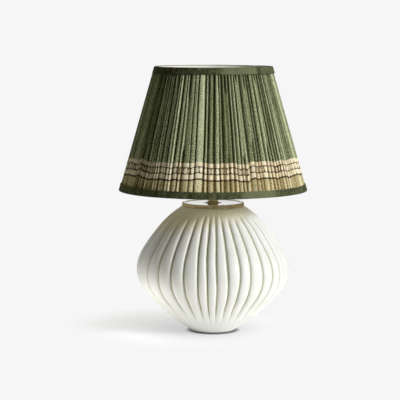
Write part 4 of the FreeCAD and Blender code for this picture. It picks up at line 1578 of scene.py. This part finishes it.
def binding(name, levels, lap_centre, lap_width, lap_lift, out_gauge, pale_span, seed):
    """An outline of six corners turned round the shade, lifted within the lap by 1 / (1 + exp(x))
    of the distance past its edge, and uneven by a few slow waves. The pale span, in degrees from
    the front, is where the strip is paler."""
    edge, far, inner_radius = levels
    way = math.copysign(1, far - edge)
    under = edge + way * under_gauge
    corners = [
        (cover_radius(edge) + out_gauge - 2 * hair, edge),
        (cover_radius(far) + out_gauge, far),
        (cover_radius(far) + 2 * hair, far),
        (cover_radius(under) + hair, under),
        (inner_radius, under),
        (inner_radius, edge),
    ]
    if way < 0:
        corners = corners[::-1]
    phases = np.random.default_rng(seed).uniform(0, full_turn, 3)
    outline = softened(corners, binding_bow, 4)
    turn = np.arange(binding_columns) * full_turn / binding_columns
    off = np.abs((turn - lap_centre + math.pi) % full_turn - math.pi)
    lift = 1 / (1 + np.exp((off - lap_width / 2) / (lap_soft / cover_radius(edge) / 4)))
    wave = (np.sin(binding_waves * turn + phases[:, None]) * binding_wave_shares).sum(axis=0)
    place = degrees_from_front(turn)
    pale = smooth((place - pale_span[0]) / pale_start_run + 0.5)
    pale = pale * smooth((pale_span[1] - place) / pale_end_run + 0.5)

    def swell(turns, level, radius):
        outside = np.clip((radius - inner_radius - swell_from) / swell_run, 0, 1)
        return outside * (lap_lift * lift + binding_wave * wave)[None, :]

    grid = turned_grid(outline, binding_columns, swell)
    grid[..., 2] += 0.5 * binding_wave * wave[None, :]
    around_edge = np.append(turn, full_turn) * cover_radius(edge)
    closed = np.concatenate([outline, outline[:1]])
    down = np.concatenate([[0], np.cumsum(np.linalg.norm(np.diff(closed, axis=0), axis=1))])
    strip_map = np.stack(np.broadcast_arrays(around_edge[None, :], down[:, None]), axis=-1)
    paler = np.maximum(lap_paler * lift, pale)
    # a dark line of painted shadow along both edges of the lap
    lap_shadow_share = 4 * lift * (1 - lift)
    rows = len(outline)
    marks = {"lap": np.tile(paler, (rows, 1)), "lap_shadow": np.tile(lap_shadow_share, (rows, 1))}
    return skin(name, grid, loop=True, uv=strip_map, marks=marks)


print("binding is ready")

# %% Binding: its linen
strip = Recipe("binding_linen")
blotch = strip.noise(strip.cloth((1.0, 0.6, 1)), 120.0, 2.0)
grain = strip.noise(strip.cloth(), 460.0, 1.0)
yarn = strip.stir(yarns(strip, 0.12, 1000.0), blotch, 0.50)
yarn = strip.stir(yarn, grain, 0.60)
colour = strip.mix(strip.span(yarn, 0.36, 0.64), strip_dark, strip_green)
colour = strip.mix(strip.times(strip.mark("lap"), 0.50), colour, strip_pale)
# painted shadow along the lap's edges
colour = strip.mix(strip.times(strip.mark("lap_shadow"), 0.75), colour, lap_shadow_dark)
binding_linen = linen_cloth(strip, colour, yarn, 0.00025)
print("finish", binding_linen.name)

# %% Binding: both edges
ring_inner_top = top_ring_radius - wire_clearance
ring_inner_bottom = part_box("bottom_ring")[1].x - frame_wire - wire_clearance
top_edge_levels = (binding_high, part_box("top_binding")[0].z, ring_inner_top)
bottom_edge_levels = (binding_low - bottom_drop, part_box("bottom_binding")[1].z, ring_inner_bottom)
top_lap = (front + math.radians(70), math.radians(44), 0.0012)
bottom_lap = (front - math.radians(0.4), math.radians(5.4), 0.0006)
top_strip = binding("top_edge_binding", top_edge_levels, *top_lap, 0.0008, (8, 45), 3)
bottom_strip = binding("bottom_edge_binding", bottom_edge_levels, *bottom_lap, 0.0016, (18, 40), 4)
fit(top_strip, "shade", "binding_linen", binding_linen, "top_binding")
fit(bottom_strip, "shade", "binding_linen", binding_linen, "bottom_binding")

# %% [markdown]
# The lining is a cone of thin cream cloth, stretched from ring to ring inside the frame. Tight
# cloth between two rings draws in between its struts, so its radius dips by a small wave in each
# bay.

# %% Lining
lining_low, lining_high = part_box("shade_lining")
lining_setback = 0.0077
lining_rows = 26
lining_columns = 320
lining_gauge = 0.0008
bays = 8
bay_dip = 0.0012
first_strut = math.radians(22.5)
map_radius = 0.14
lining_dim = (0.90, 0.89, 0.82, 1)
lining_pale = (0.95, 0.945, 0.89, 1)

lining_levels = np.linspace(lining_low.z, lining_high.z, lining_rows)[:, None]
lining_turn = np.arange(lining_columns)[None, :] * full_turn / lining_columns
lining_share = (lining_levels - lining_low.z) / (lining_high.z - lining_low.z)
bay_wave = 0.5 - 0.5 * np.cos(bays * (lining_turn - first_strut))
dip = bay_dip * np.sin(math.pi * lining_share) * bay_wave
lining_radius = cover_radius(lining_levels) - lining_setback - dip
lining_across = np.arange(lining_columns + 1) * full_turn / lining_columns * map_radius
lining_map = np.stack(np.broadcast_arrays(lining_across[None, :], lining_levels), axis=-1)
lining_grid = round_grid(lining_radius, lining_turn, lining_levels)
lining = skin("stretched_lining", lining_grid, uv=lining_map)
thickened(lining, "lining_gauge", lining_gauge)
print("lining dips", bay_dip, "in each of", bays, "bays")

# %% Lining cloth
cotton = Recipe("lining_cloth")
threads = cotton.noise(cotton.cloth((1.0, 0.1, 1)), 1200.0, 3.0)
lining_white = cotton.mix(cotton.span(threads, 0.35, 0.65), lining_dim, lining_pale)
lining_relief = cotton.bump(cotton.add(weave(cotton, 0.0005), threads), 0.00015)
lining_cloth = cotton.done(Base_Color=lining_white, Roughness=0.85, Normal=lining_relief)
fit(lining, "shade", "lining_cloth", lining_cloth, "shade_lining")

# %% [markdown]
# The cover is gathered between the two rings and carries its bindings.

# %% [markdown]
# What is left hides inside the base, the holder or between the cloths. Those pieces keep their
# CAD shape, and each gets the finish of its own material all the same, because someone will take
# the lamp apart.

# %% Finishes of the hidden pieces
board_dark = (0.24, 0.15, 0.08, 1)
board_pale = (0.42, 0.29, 0.17, 1)
china_dim = (0.84, 0.82, 0.76, 1)
china_white = (0.90, 0.88, 0.83, 1)
black = (0.02, 0.02, 0.02, 1)
black_pale = (0.05, 0.05, 0.05, 1)
glass_black = (0.008, 0.008, 0.01, 1)
glass_pale = (0.03, 0.03, 0.035, 1)
hardboard = two_tone("hardboard", board_dark, board_pale, 500.0, 5.0, 0.7, True, 4, 0.0003, Roughness=0.7)
porcelain = two_tone("porcelain", china_dim, china_white, 120.0, Roughness=0.2, Coat_Weight=0.4)
black_moulding = two_tone("black_moulding", black, black_pale, 1500.0, relief=0.0001, Roughness=0.5)
black_glass = two_tone("black_glass", glass_black, glass_pale, 600.0, Roughness=0.12)
print("finishes", [m.name for m in (hardboard, porcelain, black_moulding, black_glass)])

# %% Finishes on their pieces
hidden_finishes = (
    (hardboard, ["base_disc"]),
    (zinc_steel, ["stem_tube", "lower_nut", "lower_washer"]),
    (black_rubber, ["lower_cushion", "seating_washer"]),
    (porcelain, ["holder_insulator"]),
    (bright_brass, ["screw_shell", "terminal_blocks", "terminal_screws", "earth_terminal", "centre_contact"]),
    (black_moulding, ["switch_slider"]),
    (black_glass, ["bulb_insulator"]),
    (solder, ["bulb_tip"]),
    (white_steel, ["top_ring", "bottom_ring", "side_struts"]),
)
for finish, nodes in hidden_finishes:
    for node in nodes:
        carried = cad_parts[node]
        if not carried.material_slots:
            carried.data.materials.append(finish)
        for material_slot in carried.material_slots:
            material_slot.material = finish
print("hidden nodes finished", sum(len(nodes) for finish, nodes in hidden_finishes))
